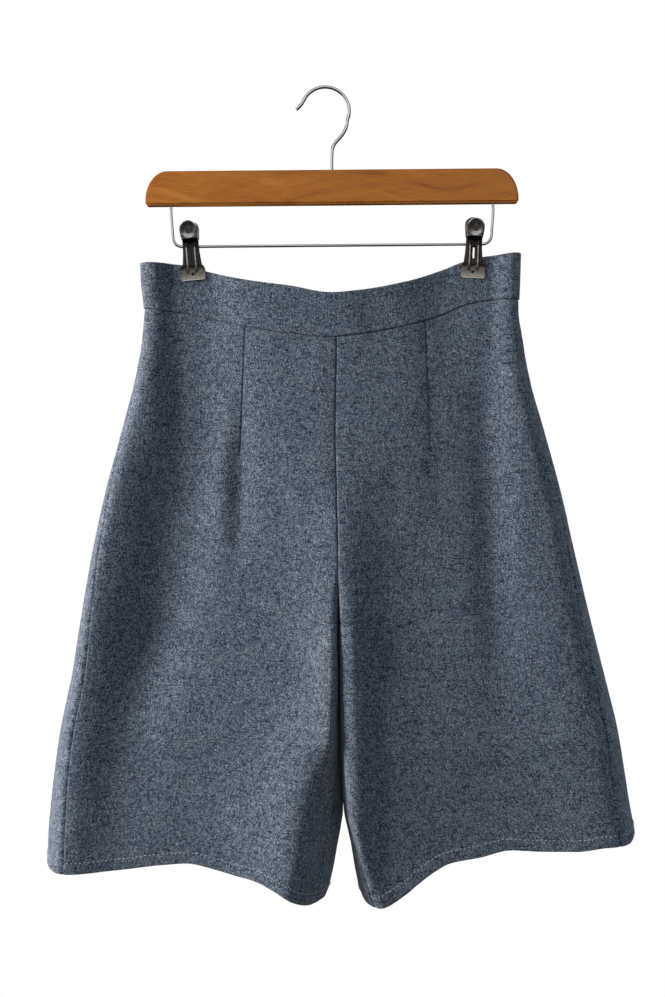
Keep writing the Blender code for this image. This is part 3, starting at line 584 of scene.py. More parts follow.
def band_part(half, face):
    """Half of the waistband's front or one part of its back, as two grids and its cloth coordinates."""
    panel = Panel(half, face)
    parted = face == "back"
    places = spread(panel.width, EDGE_STEPS if parted else (0.0,), EDGE_STEPS, evenly(BAND_COLUMNS))
    top = panel.edge(places, WAIST, "top", WAIST_LEVEL)
    reach = panel.edge(places, WAIST, "seam", WAIST_LEVEL) - top
    down = spread(reach[0], EDGE_STEPS, EDGE_STEPS, evenly(BAND_ROWS)).T
    drop = top + down
    up = reach - down
    place = half.at_column(places, drop)
    if parted:
        place = place + neck_space(drop) * ramp(1 - place / 12)
    end = half.at_level(panel.width, drop) - place
    if parted:
        end = np.minimum(end, place - neck_space(drop))
    points = panel.point(place, drop)
    seed = len(half.name) + 20 * len(face)
    relief = BAND_PROUD + 0.20 * uneven(points, 24, seed) + 0.10 * uneven(points, 8, seed + 2)
    relief += 0.12 * uneven(points * (1, 1, 0.3), 9, seed + 5) * bell(up / 8) + groove(end, 3, depth=0.25)
    edges = (down, BAND_THICK / 2), (up, BAND_ROLL), (np.maximum(end, 0), BAND_ROLL)
    grain = np.stack([panel.turn * half.side * place * MM + BAND_SHIFT[face], up * MM + 2.0], -1)
    return *panel.layers(place, drop, BAND_THICK, relief, *edges), grain



# Hanger
HANGER_TILT = math.radians(0.5)
HANGER_SHIFT = -1.0
BAR_HALF = 186.0
BAR_TOP = 81.0
BAR_BOTTOM = 115.0
BAR_THICK = 13.0
BAR_TOP_CORNER = (22.0, 30.0)
BAR_BOTTOM_CORNER = 3.0
BAR_EDGE = 1.8
HOOK_WIRE = 3.4
HOOK_RADIUS = 24.0
HOOK_CENTRE = (-6.0, 21.2)
HOOK_SHANK = 14.0
HOOK_NECK = ((0, -80), (0.2, -66), (0.9, -59), (2.8, -54.6), (6.8, -49.9), (11.2, -44.6), (14.9, -37.5))
HOOK_TIP = ((-31.0, -15.9), (-34.6, -19.4))
HOLE_ROOM = 0.5
RAIL_WIRE = 2.8
RAIL_HALF_TOP = 161.0
RAIL_HALF = 158.5
RAIL_DROP = 155.7
RAIL_CORNER = 9.0
RAIL_SHANK = 8.0
RAIL_STRAIGHT = 8.0

# Clips. A slot is half its width and the drops of its ends. A dimple is its drop, its radius and its depth
CLIPS = {"right": -141.5, "left": 141.6}
CLIP_LEAN = {"right": math.radians(4.3), "left": math.radians(-3.1)}
CLIP_THICK = 0.9
CLIP_DISC_HIGH = 136.0
CLIP_DISC_DROP = 140.8
CLIP_DISC_RADIUS = 8.7
CLIP_DISH = 2.0
CLIP_LIP_DROP = 149.3
CLIP_NECK_DROP = 152.0
CLIP_RIB_OUT = 4.1
CLIP_RIB_HEIGHT = 1.3
CLIP_RIB_WIDTH = 1.1
CLIP_SLOT = {"right": (0.3, 159.0, 172.0), "left": (1.3, 158.0, 170.5)}
CLIP_FLANGE = 2.4
CLIP_PLATE_DROP = 177.0
CLIP_TOE_DROP = 187.2
CLIP_BACK_RISE = {"right": 4.5, "left": 6.5}
CLIP_DIMPLE = (184.5, 1.0, 1.0)
SPRING_RADIUS = 3.5
SPRING_LENGTH = 11.0
SPRING_WIRE = 1.1
SPRING_TURNS = 7

# A clip jaw's inner face, from the thumb disc down to the grip
JAW = table(
    "drop out half",
    (132.1, 15.2, 1.5), (133.2, 15.0, 4.4), (135.2, 14.7, 6.8), (138.0, 14.2, 8.3), (141.0, 13.5, 8.7),
    (145.0, 12.4, 8.4), (148.0, 11.6, 8.1), (149.3, 11.3, 8.0), (150.1, 7.2, 7.8), (151.5, 5.4, 7.8),
    (154.0, 4.5, 7.9), (160.0, 4.1, 8.1), (168.0, 4.0, 8.8), (174.5, 3.9, 9.7), (177.0, 3.7, 11.8),
    (179.0, 3.3, 12.2), (187.0, 2.9, 12.3), (190.0, 2.9, 11.0),
)

# How many rows a jaw has in each stretch from its top to its end, the angle from which its edges are sharp,
# and how bright its back is painted beside its front: a darker copy that stands for painted shade
JAW_ROWS = (14, 26, 14, 12, 20, 45)
JAW_SHARP = 55
BACK_PAINTED_SHADE = 0.4

# Zip
ZIP_X = 4.0
ZIP_BELOW_EDGE = 1.0
ZIP_LENGTH = 200.0
TAPE_WIDTH = 11.0
TAPE_BACK = 0.4
TAPE_FACE = BAND_THICK - BAND_PROUD + TAPE_BACK
TAPE_TRIM = 0.1
TAPE_THICK = 0.8
TAPE_GAP = 0.95
COIL_BELOW_TAPE = 9.0
COIL_ENDS = 16.0
COIL_PITCH = 1.3
COIL_SIDES = 8
COIL_RADIUS = 0.55
COIL_FLAT = 0.8
COIL_LAP = 0.5
COIL_WIRE = 0.28
SLIDER_DROP = 209.0
NECK_GAP = 0.9
NECK_CLEAR = 5.4
NECK_EASE = 9.0

# Weave, in metres, and sewing
THREAD_PITCH = 0.00096
FLOAT_SHARE = 0.66
STITCH_STEP = 4.2
STITCH_LENGTH = 2.6
STITCH_RADIUS = 0.42
STITCH_RISE = (-2.2, 0.5, 1.0, 0.5, -2.2)
STITCH_DRIFT = 17.0
STITCH_UNEVEN = 1.4
STITCH_STAGGER = 0.25

# Stage and light. WORLD_LIGHT is the world's at the garment's level and above it
FLOOR_LEVEL = -1.9
FLOOR_RADIUS = 1.5
WORLD_LIGHT = (0.03, 0.26)
LIGHT_TARGET = (0, 0, -0.42)
WHITE = (1.0, 1.0, 1.0)
SHADE_TINT = (0.90, 0.97, 1.12)

# A row for each light: its place, width, height, power and tint. A card shows only in metal and varnish
LAMPS = {
    "key": ((-2.55, -0.72, 0.2), 0.8, 1.3, 141.0, WHITE),
    "fill": ((0.6, -2.6, 0.2), 3.0, 2.0, 20.5, SHADE_TINT),
    "back_left": ((-2.3, 1.15, 0.4), 0.8, 1.4, 70.0, WHITE),
    "side_right": ((2.4, 0.4, 0.1), 0.8, 1.4, 16.0, SHADE_TINT),
    "back_right": ((1.9, 1.6, 0.3), 0.8, 1.4, 7.0, WHITE),
}
CARDS = {
    "left_card": ((-2.4, 0.6, -0.2), 2.4, 2.6, 24.0, WHITE),
    "top_card": ((-0.2, -2.2, 0.95), 4.4, 2.0, 20.0, WHITE),
}

HANGER = Matrix.Translation((HANGER_SHIFT, 0, 0)) @ Matrix.Rotation(-HANGER_TILT, 4, "Y")


def arc(centre, radii, start, end, count):
    """Points on an ellipse's arc between two angles in degrees."""
    turns = np.radians(np.linspace(start, end, count))
    return [(centre[0] + radii[0] * math.cos(a), centre[1] + radii[1] * math.sin(a)) for a in turns]


def rounded(points, radius, count=12):
    """A line of points with each inner corner rounded."""
    line = [points[0]]
    for before, corner, after in zip(points, points[1:], points[2:]):
        corner = Vector(corner)
        a, b = ((Vector(other) - corner).normalized() for other in (before, after))
        half_angle = a.angle(b) / 2
        middle = corner + (a + b).normalized() * (radius / math.sin(half_angle))
        first, last = (corner + way * radius / math.tan(half_angle) - middle for way in (a, b))
        for share in np.linspace(0, 1, count).tolist():
            line.append(tuple(middle + first.slerp(last, share).normalized() * radius))
    return line + [points[-1]]


def curved(points, count):
    """A smooth line through points, read evenly along it."""
    points = np.array(points, float)
    run = length_along(points)
    at = np.linspace(0, run[-1], count)
    return np.stack([curve(at, run, values, np.gradient(values, run)) for values in points.T], -1)


def length_along(line):
    """How far along a line of points each one lies."""
    return np.concatenate([[0], np.linalg.norm(np.diff(line, axis=0), axis=1).cumsum()])


def wire(name, points, diameter, matrix, finish):
    """A round wire along points in the XZ plane, with closed ends."""
    shape = bmesh.new()
    tube(shape, [matrix @ Vector((x, 0, z)) for x, z in points], diameter / 2, 20)
    return finish_mesh(name, shape, finish)


def tube(shape, points, radius, sides):
    """Adds a closed tube along points, carried along with as little twist as it can have."""
    points = [Vector(p) for p in points]
    side = None
    rings = []
    for k, point in enumerate(points):
        run = (points[min(k + 1, len(points) - 1)] - points[max(k - 1, 0)]).normalized()
        if side is None:
            side = run.orthogonal().normalized()
        side = (side - run * side.dot(run)).normalized()
        other = run.cross(side)
        turns = [math.tau * j / sides for j in range(sides)]
        ring = [point + (side * math.cos(a) + other * math.sin(a)) * radius for a in turns]
        rings.append([shape.verts.new(p) for p in ring])
    for a, b in zip(rings, rings[1:]):
        for j in range(sides):
            shape.faces.new((a[j], a[(j + 1) % sides], b[(j + 1) % sides], b[j]))
    shape.faces.new(rings[0][::-1])
    shape.faces.new(rings[-1])


def finish_mesh(name, shape, finish, sharp=40):
    """An object from a bmesh in millimetres, with its faces turned outwards."""
    bmesh.ops.recalc_face_normals(shape, faces=shape.faces)
    bmesh.ops.scale(shape, vec=(MM, MM, MM), verts=shape.verts)
    mesh = bpy.data.meshes.new(name)
    shape.to_mesh(mesh)
    shape.free()
    mesh.shade_smooth()
    mesh.set_sharp_from_angle(angle=math.radians(sharp))
    return link(name, mesh, finish)


def make_bar(wood):
    """The wooden bar, with the hook's hole in its top and the rail's two below."""
    across, down = BAR_TOP_CORNER
    r = BAR_BOTTOM_CORNER
    outline = arc((BAR_HALF - across, -BAR_TOP - down), (across, down), 0, 90, 28)
    outline += arc((-BAR_HALF + across, -BAR_TOP - down), (across, down), 90, 180, 28)
    outline += arc((-BAR_HALF + r, -BAR_BOTTOM + r), (r, r), 180, 270, 9)
    outline += arc((BAR_HALF - r, -BAR_BOTTOM + r), (r, r), 270, 360, 9)
    shape = bmesh.new()
    face = shape.faces.new([shape.verts.new((x, -BAR_THICK / 2, z)) for x, z in outline])
    moved = bmesh.ops.extrude_face_region(shape, geom=[face])["geom"]
    back = [v for v in moved if isinstance(v, bmesh.types.BMVert)]
    bmesh.ops.translate(shape, vec=(0, BAR_THICK, 0), verts=back)
    rims = [edge for edge in shape.edges if abs(edge.verts[0].co.y - edge.verts[1].co.y) < 0.1]
    bmesh.ops.bevel(shape, geom=rims, offset=BAR_EDGE, segments=6, affect="EDGES", clamp_overlap=True)
    faces = sorted(shape.faces, key=lambda face: face.calc_area())[-2:]
    bmesh.ops.inset_individual(shape, faces=faces, thickness=0.4)
    bmesh.ops.transform(shape, matrix=HANGER, verts=shape.verts)
    bar = finish_mesh("bar_wood", shape, wood)
    holes = [(0, -BAR_TOP + 5, -BAR_TOP - HOOK_SHANK - 1, HOOK_WIRE)]
    for x in (-RAIL_HALF_TOP, RAIL_HALF_TOP):
        holes.append((x, -BAR_BOTTOM - 5, -BAR_BOTTOM + RAIL_SHANK + 1, RAIL_WIRE))
    for x, start, end, width in holes:
        cut_hole(bar, x, start, end, width / 2 + HOLE_ROOM)
    return bar


def cut_hole(target, x, start, end, radius):
    """Cuts a round hole between two heights of the hanger's own XZ plane."""
    shape = bmesh.new()
    tube(shape, [HANGER @ Vector((x, 0, z)) for z in (start, end)], radius, 24)
    cutter = finish_mesh("cutter", shape, target.data.materials[0])
    change = target.modifiers.new("hole", "BOOLEAN")
    change.operation = "DIFFERENCE"
    change.object = cutter
    bpy.context.view_layer.update()
    cut = bpy.data.meshes.new_from_object(target.evaluated_get(bpy.context.evaluated_depsgraph_get()))
    target.modifiers.clear()
    target.data = cut
    bpy.data.objects.remove(cutter)


def make_hook(chrome):
    """A shank, a reverse bend, the round of the hook and a tip that turns out."""
    x, drop = HOOK_CENTRE
    bow = arc((x, -drop), (HOOK_RADIUS, HOOK_RADIUS), -22, 156, 17)
    points = [(0, -BAR_TOP - HOOK_SHANK), *HOOK_NECK, *bow, *HOOK_TIP]
    return wire("hook_chrome", curved(points, 150), HOOK_WIRE, HANGER, chrome)


def make_rail(chrome):
    """The rail, whose ends bend up into the bar."""
    top = (RAIL_HALF_TOP, -BAR_BOTTOM + RAIL_SHANK)
    right = [top, (RAIL_HALF_TOP, -BAR_BOTTOM - RAIL_STRAIGHT), (RAIL_HALF, -RAIL_DROP)]
    line = [(-x, z) for x, z in right] + right[::-1]
    bends = rounded(line[1:-1], RAIL_CORNER)
    return wire("rail_chrome", [line[0], *bends, line[-1]], RAIL_WIRE, HANGER, chrome)


def clip_place(name):
    """Where a clip hangs: it leans about the rail."""
    place = Matrix.Translation((CLIPS[name], 0, -RAIL_DROP)) @ Matrix.Rotation(-CLIP_LEAN[name], 4, "Y")
    return HANGER @ place @ Matrix.Translation((0, 0, RAIL_DROP))


def jaw_lines(slot_top, slot_low):
    """The jaw's rows: more where its outline turns, and one at each end of its slot."""
    first, last = JAW["drop"][0], JAW["drop"][-1]
    stops = [first, CLIP_DISC_HIGH, CLIP_LIP_DROP - 1, CLIP_LIP_DROP + 1.5, slot_top, slot_low, last]
    rows = [np.linspace(*stretch, endpoint=False) for stretch in zip(stops, stops[1:], JAW_ROWS)]
    return np.concatenate([*rows, [last]])[:, None]


def make_jaw(name, face, steel):
    """A jaw's sheet of metal: a dished thumb disc, two ribs and turned-in sides on its neck, and the grip."""
    slot, slot_top, slot_low = CLIP_SLOT[name]
    drop = jaw_lines(slot_top, slot_low)
    half = read(JAW, "half", drop)
    right = slot + (half - slot) * np.linspace(0, 1, 23)[1:]
    x = np.hstack([-right[:, ::-1], np.linspace(-slot, slot, 5) + 0 * drop, right])
    from_disc = np.hypot(x, drop - CLIP_DISC_DROP) / CLIP_DISC_RADIUS
    from_rib = np.abs(x) - CLIP_RIB_OUT
    on_disc = ramp((CLIP_LIP_DROP - drop) / 1.2)
    on_neck = ramp((drop - CLIP_NECK_DROP) / 4) * ramp((CLIP_PLATE_DROP + 6 - drop) / 5)
    on_toe = ramp((drop - CLIP_TOE_DROP) / 2.4)
    dimple_drop, dimple_radius, dimple_depth = CLIP_DIMPLE
    dimple = bell(np.hypot(x, drop - dimple_drop) / dimple_radius)

    # How far the metal stands out from the cloth
    out = read(JAW, "out", drop) - CLIP_DISH * ramp((0.92 - from_disc) / 0.5) * on_disc
    out = out + CLIP_RIB_HEIGHT * on_neck * bell(from_rib / CLIP_RIB_WIDTH)
    flange = CLIP_FLANGE * ramp((drop - CLIP_NECK_DROP + 5) / 5) * ramp((CLIP_PLATE_DROP - 1 - drop) / 4)
    rim = np.clip((np.abs(x) / half - 0.86) / 0.14, 0, 1)
    out = out - flange * (1 - np.sqrt(1 - rim**2 * 0.999))
    out = out + groove(half - np.abs(x), 0.8, depth=0.35) * (1 - on_neck)
    out = out - dimple_depth * dimple + 0.9 * on_toe

    # How bright the metal is: the plate and the disc keep tones of their own, with painted shade and
    # highlights
    # The neck is painted almost black, as painted shade under the disc's lip
    tone = np.where(drop > CLIP_PLATE_DROP, 0.44, 0.06) + 0 * x
    # The disc's own tone, with a painted highlight round its rim
    tone = np.where(drop < CLIP_LIP_DROP + 0.3, 0.66 + 0.30 * bell((from_disc - 0.98) / 0.09), tone)
    # A painted highlight along the lip under the disc
    tone = tone + 0.55 * bell((drop - CLIP_LIP_DROP + 0.5) / 0.5)
    # Painted highlights on the ribs and the toe, and painted shade in the dimple
    ribs_seen = ramp((drop - CLIP_NECK_DROP - 4.5) / 1.5) * ramp((CLIP_PLATE_DROP + 5.5 - drop) / 3)
    tone = tone + ribs_seen * bell(from_rib / 0.7) + 0.22 * on_toe - 0.5 * dimple

    # The metal's two faces, with the slot left out
    outward = 1 if face == "front" else -1
    rise = CLIP_BACK_RISE[name] * (face == "back")
    z = rise * ramp((CLIP_LIP_DROP + 3 - drop) / 6) - drop + 0 * x
    near = np.dstack([x, -outward * out, z])
    far = np.dstack([x, -outward * (out + CLIP_THICK), z])
    open_rows = (drop[:-1, 0] >= slot_top - 0.01) & (drop[1:, 0] <= slot_low + 0.01)
    middle = (x[0, :-1] + x[0, 1:]) / 2
    keep = ~(open_rows[:, None] & (np.abs(middle) < slot)[None, :])
    place = np.array(clip_place(name))
    far, near = (grid @ place[:3, :3].T + place[:3, 3] for grid in (far, near))
    return closed_sheet(f"{face}_jaw_{name}", far, near, steel, tone=np.clip(tone, 0.02, 1), keep=keep)


def make_spring(name, steel):
    """The spring's coil round the rail."""
    turns = np.linspace(0, math.tau * SPRING_TURNS, SPRING_TURNS * 20 + 1)
    along = CLIPS[name] + SPRING_LENGTH * np.linspace(-0.5, 0.5, turns.size)
    radius = SPRING_RADIUS - SPRING_WIRE / 2
    coil = [(x, radius * math.cos(a), -RAIL_DROP + radius * math.sin(a)) for x, a in zip(along, turns)]
    shape = bmesh.new()
    tube(shape, [HANGER @ Vector(p) for p in coil], SPRING_WIRE / 2, 8)
    return finish_mesh(f"spring_coil_{name}", shape, steel)


def zip_top():
    """The drop of the zip tapes' top, a little below the waistband's edge."""
    return float(read(WAIST, "top", ZIP_X, "x")) + ZIP_BELOW_EDGE


def tape_piece(half):
    """One of the zip's two tapes, inside the centre back seam, as two grids and its cloth coordinates."""
    drop = np.linspace(zip_top(), zip_top() + ZIP_LENGTH, 101)[:, None]
    across = np.linspace(TAPE_GAP + TAPE_WIDTH, TAPE_GAP, 9)[None, :]
    outer = half.beside_zip(across, drop, TAPE_FACE + TAPE_TRIM)
    inner = half.beside_zip(across, drop, TAPE_FACE + TAPE_THICK)
    return outer, inner, np.dstack(np.broadcast_arrays(across * MM, -drop * MM))


def make_coil(half, finish):
    """The zip's coil, which is sewn along the tape's inner edge."""
    step = np.arange(int((ZIP_LENGTH - COIL_ENDS) / COIL_PITCH * COIL_SIDES) + 1)
    turn = step * math.tau / COIL_SIDES
    drop = zip_top() + COIL_BELOW_TAPE + step * COIL_PITCH / COIL_SIDES
    across = TAPE_GAP + COIL_LAP + COIL_RADIUS * (1 + np.cos(turn))
    inset = TAPE_FACE + TAPE_THICK + COIL_RADIUS * (1 + COIL_FLAT * np.sin(turn))
    shape = bmesh.new()
    tube(shape, half.beside_zip(across, drop, inset), COIL_WIRE, 5)
    return finish_mesh(f"zip_coil_{half.name}", shape, finish)


def neck_space(drop):
    """How far the centre back edges stand back from the seam to let the slider's neck through."""
    return NECK_GAP * ramp(1 - (np.abs(drop - SLIDER_DROP) - NECK_CLEAR) / NECK_EASE)


def line_on(outer, heights, level):
    """The line along a grid where its heights pass a level, as a point in each column."""
    line = []
    for column in range(outer.shape[1]):
        found = heights[::-1, column]
        line.append([np.interp(level, found, outer[::-1, column, k]) for k in range(3)])
    return np.array(line)


def hem_stitches(name, line, outward, finish):
    """Blind hem stitches: short threads that dip in and out of the cloth, some almost hidden."""
    run = length_along(line)
    shape = bmesh.new()
    for k, middle in enumerate(np.arange(STITCH_STEP, run[-1] - STITCH_STEP, STITCH_STEP)):
        along = middle + np.linspace(-0.5, 0.5, len(STITCH_RISE)) * STITCH_LENGTH
        points = np.stack([np.interp(along, run, values) for values in line.T], -1)
        across = np.cross(points[-1] - points[0], (0, 0, 1))
        across *= outward * np.sign(across[1]) / np.linalg.norm(across)
        seen = STITCH_UNEVEN * noise.noise(Vector((middle / STITCH_DRIFT, len(name), 0.5)))
        rise = STITCH_RADIUS * (np.array(STITCH_RISE) + seen)
        points = points + across * rise[:, None] + (0, 0, STITCH_STAGGER * (-1) ** k)
        tube(shape, points, STITCH_RADIUS, 6)
    return finish_mesh(name, shape, finish)


def sheet_area(grain):
    """The area of the flat cloth, in square metres."""
    a, b, c, d = grain[:-1, :-1], grain[:-1, 1:], grain[1:, 1:], grain[1:, :-1]
    p, q = c - a, d - b
    return float(np.abs(p[..., 0] * q[..., 1] - p[..., 1] * q[..., 0]).sum() / 2)


def flat_size(grain):
    """The flat cloth's width and length, in metres."""
    size = np.ptp(grain.reshape(-1, 2), axis=0)
    return float(size[0]), float(size[1])


def make_garment(cloth, tape_cloth, thread, zip_nylon):
    halves = {name: Half(name) for name in ("right", "left")}
    for name, half in halves.items():
        for face, band, outward in (("front", "waistband_front", -1), ("back", f"waistband_back_{name}", 1)):
            outer, inner, grain, up = leg_panel(half, face)
            panel = closed_sheet(f"cloth_{face}_{name}", outer, inner, cloth, grain)
            stitched = line_on(outer, up, HEM_STITCH_UP)
            stitches = hem_stitches(f"hem_thread_{face}_{name}", stitched, outward, thread)
            dress(panel, f"{face}_{name}")
            dress(stitches)
            flat_size(grain)
            sheet_area(grain)
    make_waistband(halves, cloth)
    make_zip_tapes(halves, tape_cloth, zip_nylon)


def make_waistband(halves, cloth):
    """The front is one piece from side seam to side seam, and the back is parted for the zip."""
    right = [grid[:, ::-1] for grid in band_part(halves["right"], "front")]
    left = band_part(halves["left"], "front")
    parts = {"front": [np.hstack([a, b[:, 1:]]) for a, b in zip(right, left)]}
    for name, half in halves.items():
        parts[f"back_{name}"] = band_part(half, "back")
    for part, (outer, inner, grain) in parts.items():
        band = closed_sheet(f"cloth_waistband_{part}", outer, inner, cloth, grain)
        dress(band, f"waistband_{part}")


def make_zip_tapes(halves, tape_cloth, zip_nylon):
    for name, half in halves.items():
        outer, inner, grain = tape_piece(half)
        tape = closed_sheet(f"tape_{name}", outer, inner, tape_cloth, grain)
        coil = make_coil(half, zip_nylon)
        dress(tape, f"zip_tape_{name}")
        dress(coil)


def make_hanger(wood, chrome, steel, spring_steel):
    dress(make_bar(wood), "hanger_bar")
    dress(make_hook(chrome), "hanger_hook")
    dress(make_rail(chrome), "hanger_rail")
    for name in CLIPS:
        for face in ("front", "back"):
            dress(make_jaw(name, face, steel), f"clip_{face}_jaw_{name}")
        dress(make_spring(name, spring_steel), f"clip_spring_{name}")


def dress(piece, node=None):
    """Says what a piece rides on, and hides the solid that it stands for."""
    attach(piece, GARMENT)
    if node is not None:
        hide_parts(node)


class Graph:
    """A material's or the world's nodes. An input is a number, a colour or another node's output."""

    def __init__(self, owner, end="Principled BSDF", **sockets):
        owner.use_nodes = True
        self.owner = owner
        self.tree = owner.node_tree
        self.end = self.tree.nodes[end]
        for socket, value in sockets.items():
            self.set(socket.replace("_", " "), value)

    def set(self, socket, value):
        """Gives the shader, or the world's output, one of its inputs."""
        self.feed(self.end, socket, value)

    def feed(self, node, socket, value):
        if isinstance(value, bpy.types.NodeSocket):
            self.tree.links.new(value, node.inputs[socket])
        elif node.inputs[socket].type == "RGBA":
            node.inputs[socket].default_value = (*value, 1)
        else:
            node.inputs[socket].default_value = value

    def node(self, kind, inputs, output=0, **settings):
        made = self.tree.nodes.new("ShaderNode" + kind)
        for key, value in settings.items():
            setattr(made, key, value)
        for socket, value in inputs.items():
            self.feed(made, socket, value)
        return made.outputs[output]

    def math(self, operation, *values):
        return self.node("Math", dict(enumerate(values)), operation=operation)

    def times(self, a, b):
        return self.math("MULTIPLY", a, b)

    def noise(self, vector, scale, detail=2.0, roughness=0.5):
        inputs = {"Vector": vector, "Scale": scale, "Detail": detail, "Roughness": roughness}
        return self.node("TexNoise", inputs)

    def span(self, value, low, high, to_low=0.0, to_high=1.0):
        """A value's place between two limits, held inside them."""
        return self.node("MapRange", {0: value, 1: low, 2: high, 3: to_low, 4: to_high})

    def mix(self, share, a, b):
        return self.node("Mix", {0: share, 6: a, 7: b}, 2, data_type="RGBA")

    def choose(self, share, a, b):
        return self.node("Mix", {0: share, 2: a, 3: b})

    def ramp(self, value, *stops):
        made = self.tree.nodes.new("ShaderNodeValToRGB")
        colours = made.color_ramp.elements
        while len(colours) < len(stops):
            colours.new(1.0)
        for stop, (place, colour) in zip(colours, stops):
            stop.position = place
            stop.color = (*colour, 1)
        self.feed(made, 0, value)
        return made.outputs[0]

    def place(self):
        """The point's place in the object, in metres."""
        return self.node("TexCoord", {}, 3)

    def grain(self):
        """The point's place on the flat cloth, in metres."""
        return self.node("UVMap", {}, uv_map="grain")

    def vector(self, x, y, z=0.0):
        return self.node("CombineXYZ", {0: x, 1: y, 2: z})

    def stretched(self, vector, size):
        return self.node("VectorMath", {0: vector, 1: size}, operation="MULTIPLY")

    def scaled(self, vector, size):
        return self.node("VectorMath", {0: vector, 3: size}, operation="SCALE")

    def parts(self, vector):
        made = self.tree.nodes.new("ShaderNodeSeparateXYZ")
        self.feed(made, 0, vector)
        return made.outputs

    def bump(self, height, distance, strength=1.0):
        self.set("Normal", self.node("Bump", {"Height": height, "Distance": distance, "Strength": strength}))


def new_material(name, **sockets):
    return Graph(bpy.data.materials.new(name), **sockets)


# Colours from the darkest on: the cloth's threads, the clips' metal from painted shade to painted highlight,
# and the bar's wood
THREADS = (
    (0.00, (0.006, 0.010, 0.026)),
    (0.14, (0.018, 0.027, 0.052)),
    (0.34, (0.060, 0.078, 0.105)),
    (0.55, (0.108, 0.134, 0.162)),
    (0.80, (0.184, 0.215, 0.246)),
    (1.00, (0.350, 0.382, 0.408)),
)
CLIP_TONES_AND_PAINTED_LIGHT = ((0.0, (0.014, 0.010, 0.008)), (0.5, (0.42, 0.375, 0.32)), (1.0, (0.88, 0.84, 0.78)))
WOOD = (
    (0.0, (0.240, 0.060, 0.001)),
    (0.3, (0.360, 0.108, 0.003)),
    (0.7, (0.400, 0.128, 0.006)),
    (1.0, (0.490, 0.172, 0.020)),
)


def make_cloth():
    """A slubby twill: each thread has its own tone, which changes along it, and so do the floats."""
    g = new_material("culottes_cloth", Roughness=0.92, Specular_IOR_Level=0.22, Sheen_Weight=0.14,
                     Sheen_Roughness=0.5)
    grain = g.grain()
    drift = g.parts(g.node("TexNoise", {"Vector": grain, "Scale": 55.0, "Detail": 3.0}, 1))
    u, v, _ = g.parts(grain)
    x = g.math("MULTIPLY_ADD", u, 1 / THREAD_PITCH, g.times(drift[0], 3.0))
    y = g.math("MULTIPLY_ADD", v, 1 / THREAD_PITCH, g.times(drift[1], 3.0))
    i, j = g.math("FLOOR", x), g.math("FLOOR", y)
    step = g.math("FLOORED_MODULO", g.math("ADD", i, j), 3.0)
    warp_up = g.math("LESS_THAN", step, 1.5)

    # Tones: one for each thread, changing slowly along it, and one for each float
    warp_tone = g.noise(g.vector(g.times(i, 7.31), g.times(y, 0.14)), 1.0)
    weft_tone = g.noise(g.vector(g.times(x, 0.14), g.times(j, 7.31), 40.0), 1.0)
    thread_tone = g.choose(warp_up, g.span(weft_tone, 0.32, 0.66), g.span(warp_tone, 0.36, 0.70))
    float_tone = g.node("TexWhiteNoise", {"Vector": g.vector(i, j)}, noise_dimensions="2D")
    patches = g.span(g.noise(grain, 34.0, 3.0), 0.3, 0.7, -0.04, 0.04)
    tone = g.math("MULTIPLY_ADD", float_tone, FLOAT_SHARE, patches)
    colour = g.ramp(g.math("MULTIPLY_ADD", thread_tone, 1 - FLOAT_SHARE, tone), *THREADS)

    # Slubs: short thick lengths of darker thread, more of them across than down
    for place, strength in (
        (g.vector(g.times(x, 0.11), g.times(j, 5.17), 3.0), 0.42),
        (g.vector(g.times(i, 5.17), g.times(y, 0.09), 9.0), 0.60),
    ):
        colour = g.scaled(colour, g.span(g.noise(place, 1.0, 1.0), 0.60, 0.68, 1.0, strength))
    g.set("Base Color", colour)

    # Height: round threads whose floats dip at both ends, and thick and thin places
    across = g.choose(warp_up, g.math("PINGPONG", y, 0.5), g.math("PINGPONG", x, 0.5))
    height = g.math("MULTIPLY_ADD", float_tone, 0.25, across)
    g.bump(g.math("ADD", height, g.noise(grain, 1300.0, 3.0)), 0.0003, 0.8)
    return g.owner


def make_tape_cloth():
    """The zip's tape: fine ribs along it."""
    g = new_material("zip_tape_cloth", Roughness=0.85, Specular_IOR_Level=0.25)
    grain = g.grain()
    u, v, _ = g.parts(grain)
    ribs = g.math("PINGPONG", g.times(u, 1600.0), 0.5)
    rows = g.math("PINGPONG", g.times(v, 1800.0), 0.5)
    tone = g.span(g.noise(grain, 900.0, 3.0), 0.3, 0.7)
    g.set("Base Color", g.mix(tone, (0.030, 0.040, 0.058), (0.062, 0.078, 0.102)))
    g.bump(g.math("ADD", ribs, g.times(rows, 0.5)), 0.0002)
    return g.owner


def make_plain(name, colour, uneven_by, roughness, scale, bump, **sockets):
    """A finish whose tone, gloss and surface are slightly uneven."""
    g = new_material(name, **sockets)
    place = g.place()
    spots = g.span(g.noise(place, scale, 4.0), 0.3, 0.7)
    dark, pale = (tuple(c * (1 + change) for c in colour) for change in (-uneven_by, uneven_by))
    g.set("Base Color", g.mix(spots, dark, pale))
    g.set("Roughness", g.span(spots, 0.0, 1.0, *roughness))
    g.bump(g.noise(place, scale * 2.3, 3.0), bump)
    return g.owner


def make_clip_steel():
    """Dark nickel-plated steel. Its colour carries painted shade in the necks and painted highlights on the
    ribs, the lips and the rims.
    """
    g = new_material("clip_nickel", Metallic=1.0)
    place = g.place()
    spots = g.noise(place, 420.0, 4.0)
    # The sheet's tone, painted shade and highlights included, picks the colour from the ramp
    tone_with_painted_light = g.node("Attribute", {}, 2, attribute_name="plating")
    tone_with_painted_light = g.times(tone_with_painted_light, g.span(spots, 0.3, 0.7, 0.82, 1.18))
    g.set("Base Color", g.ramp(tone_with_painted_light, *CLIP_TONES_AND_PAINTED_LIGHT))
    g.set("Roughness", g.span(spots, 0.3, 0.7, 0.26, 0.40))
    g.bump(g.noise(place, 900.0, 3.0), 0.00001)
    return g.owner


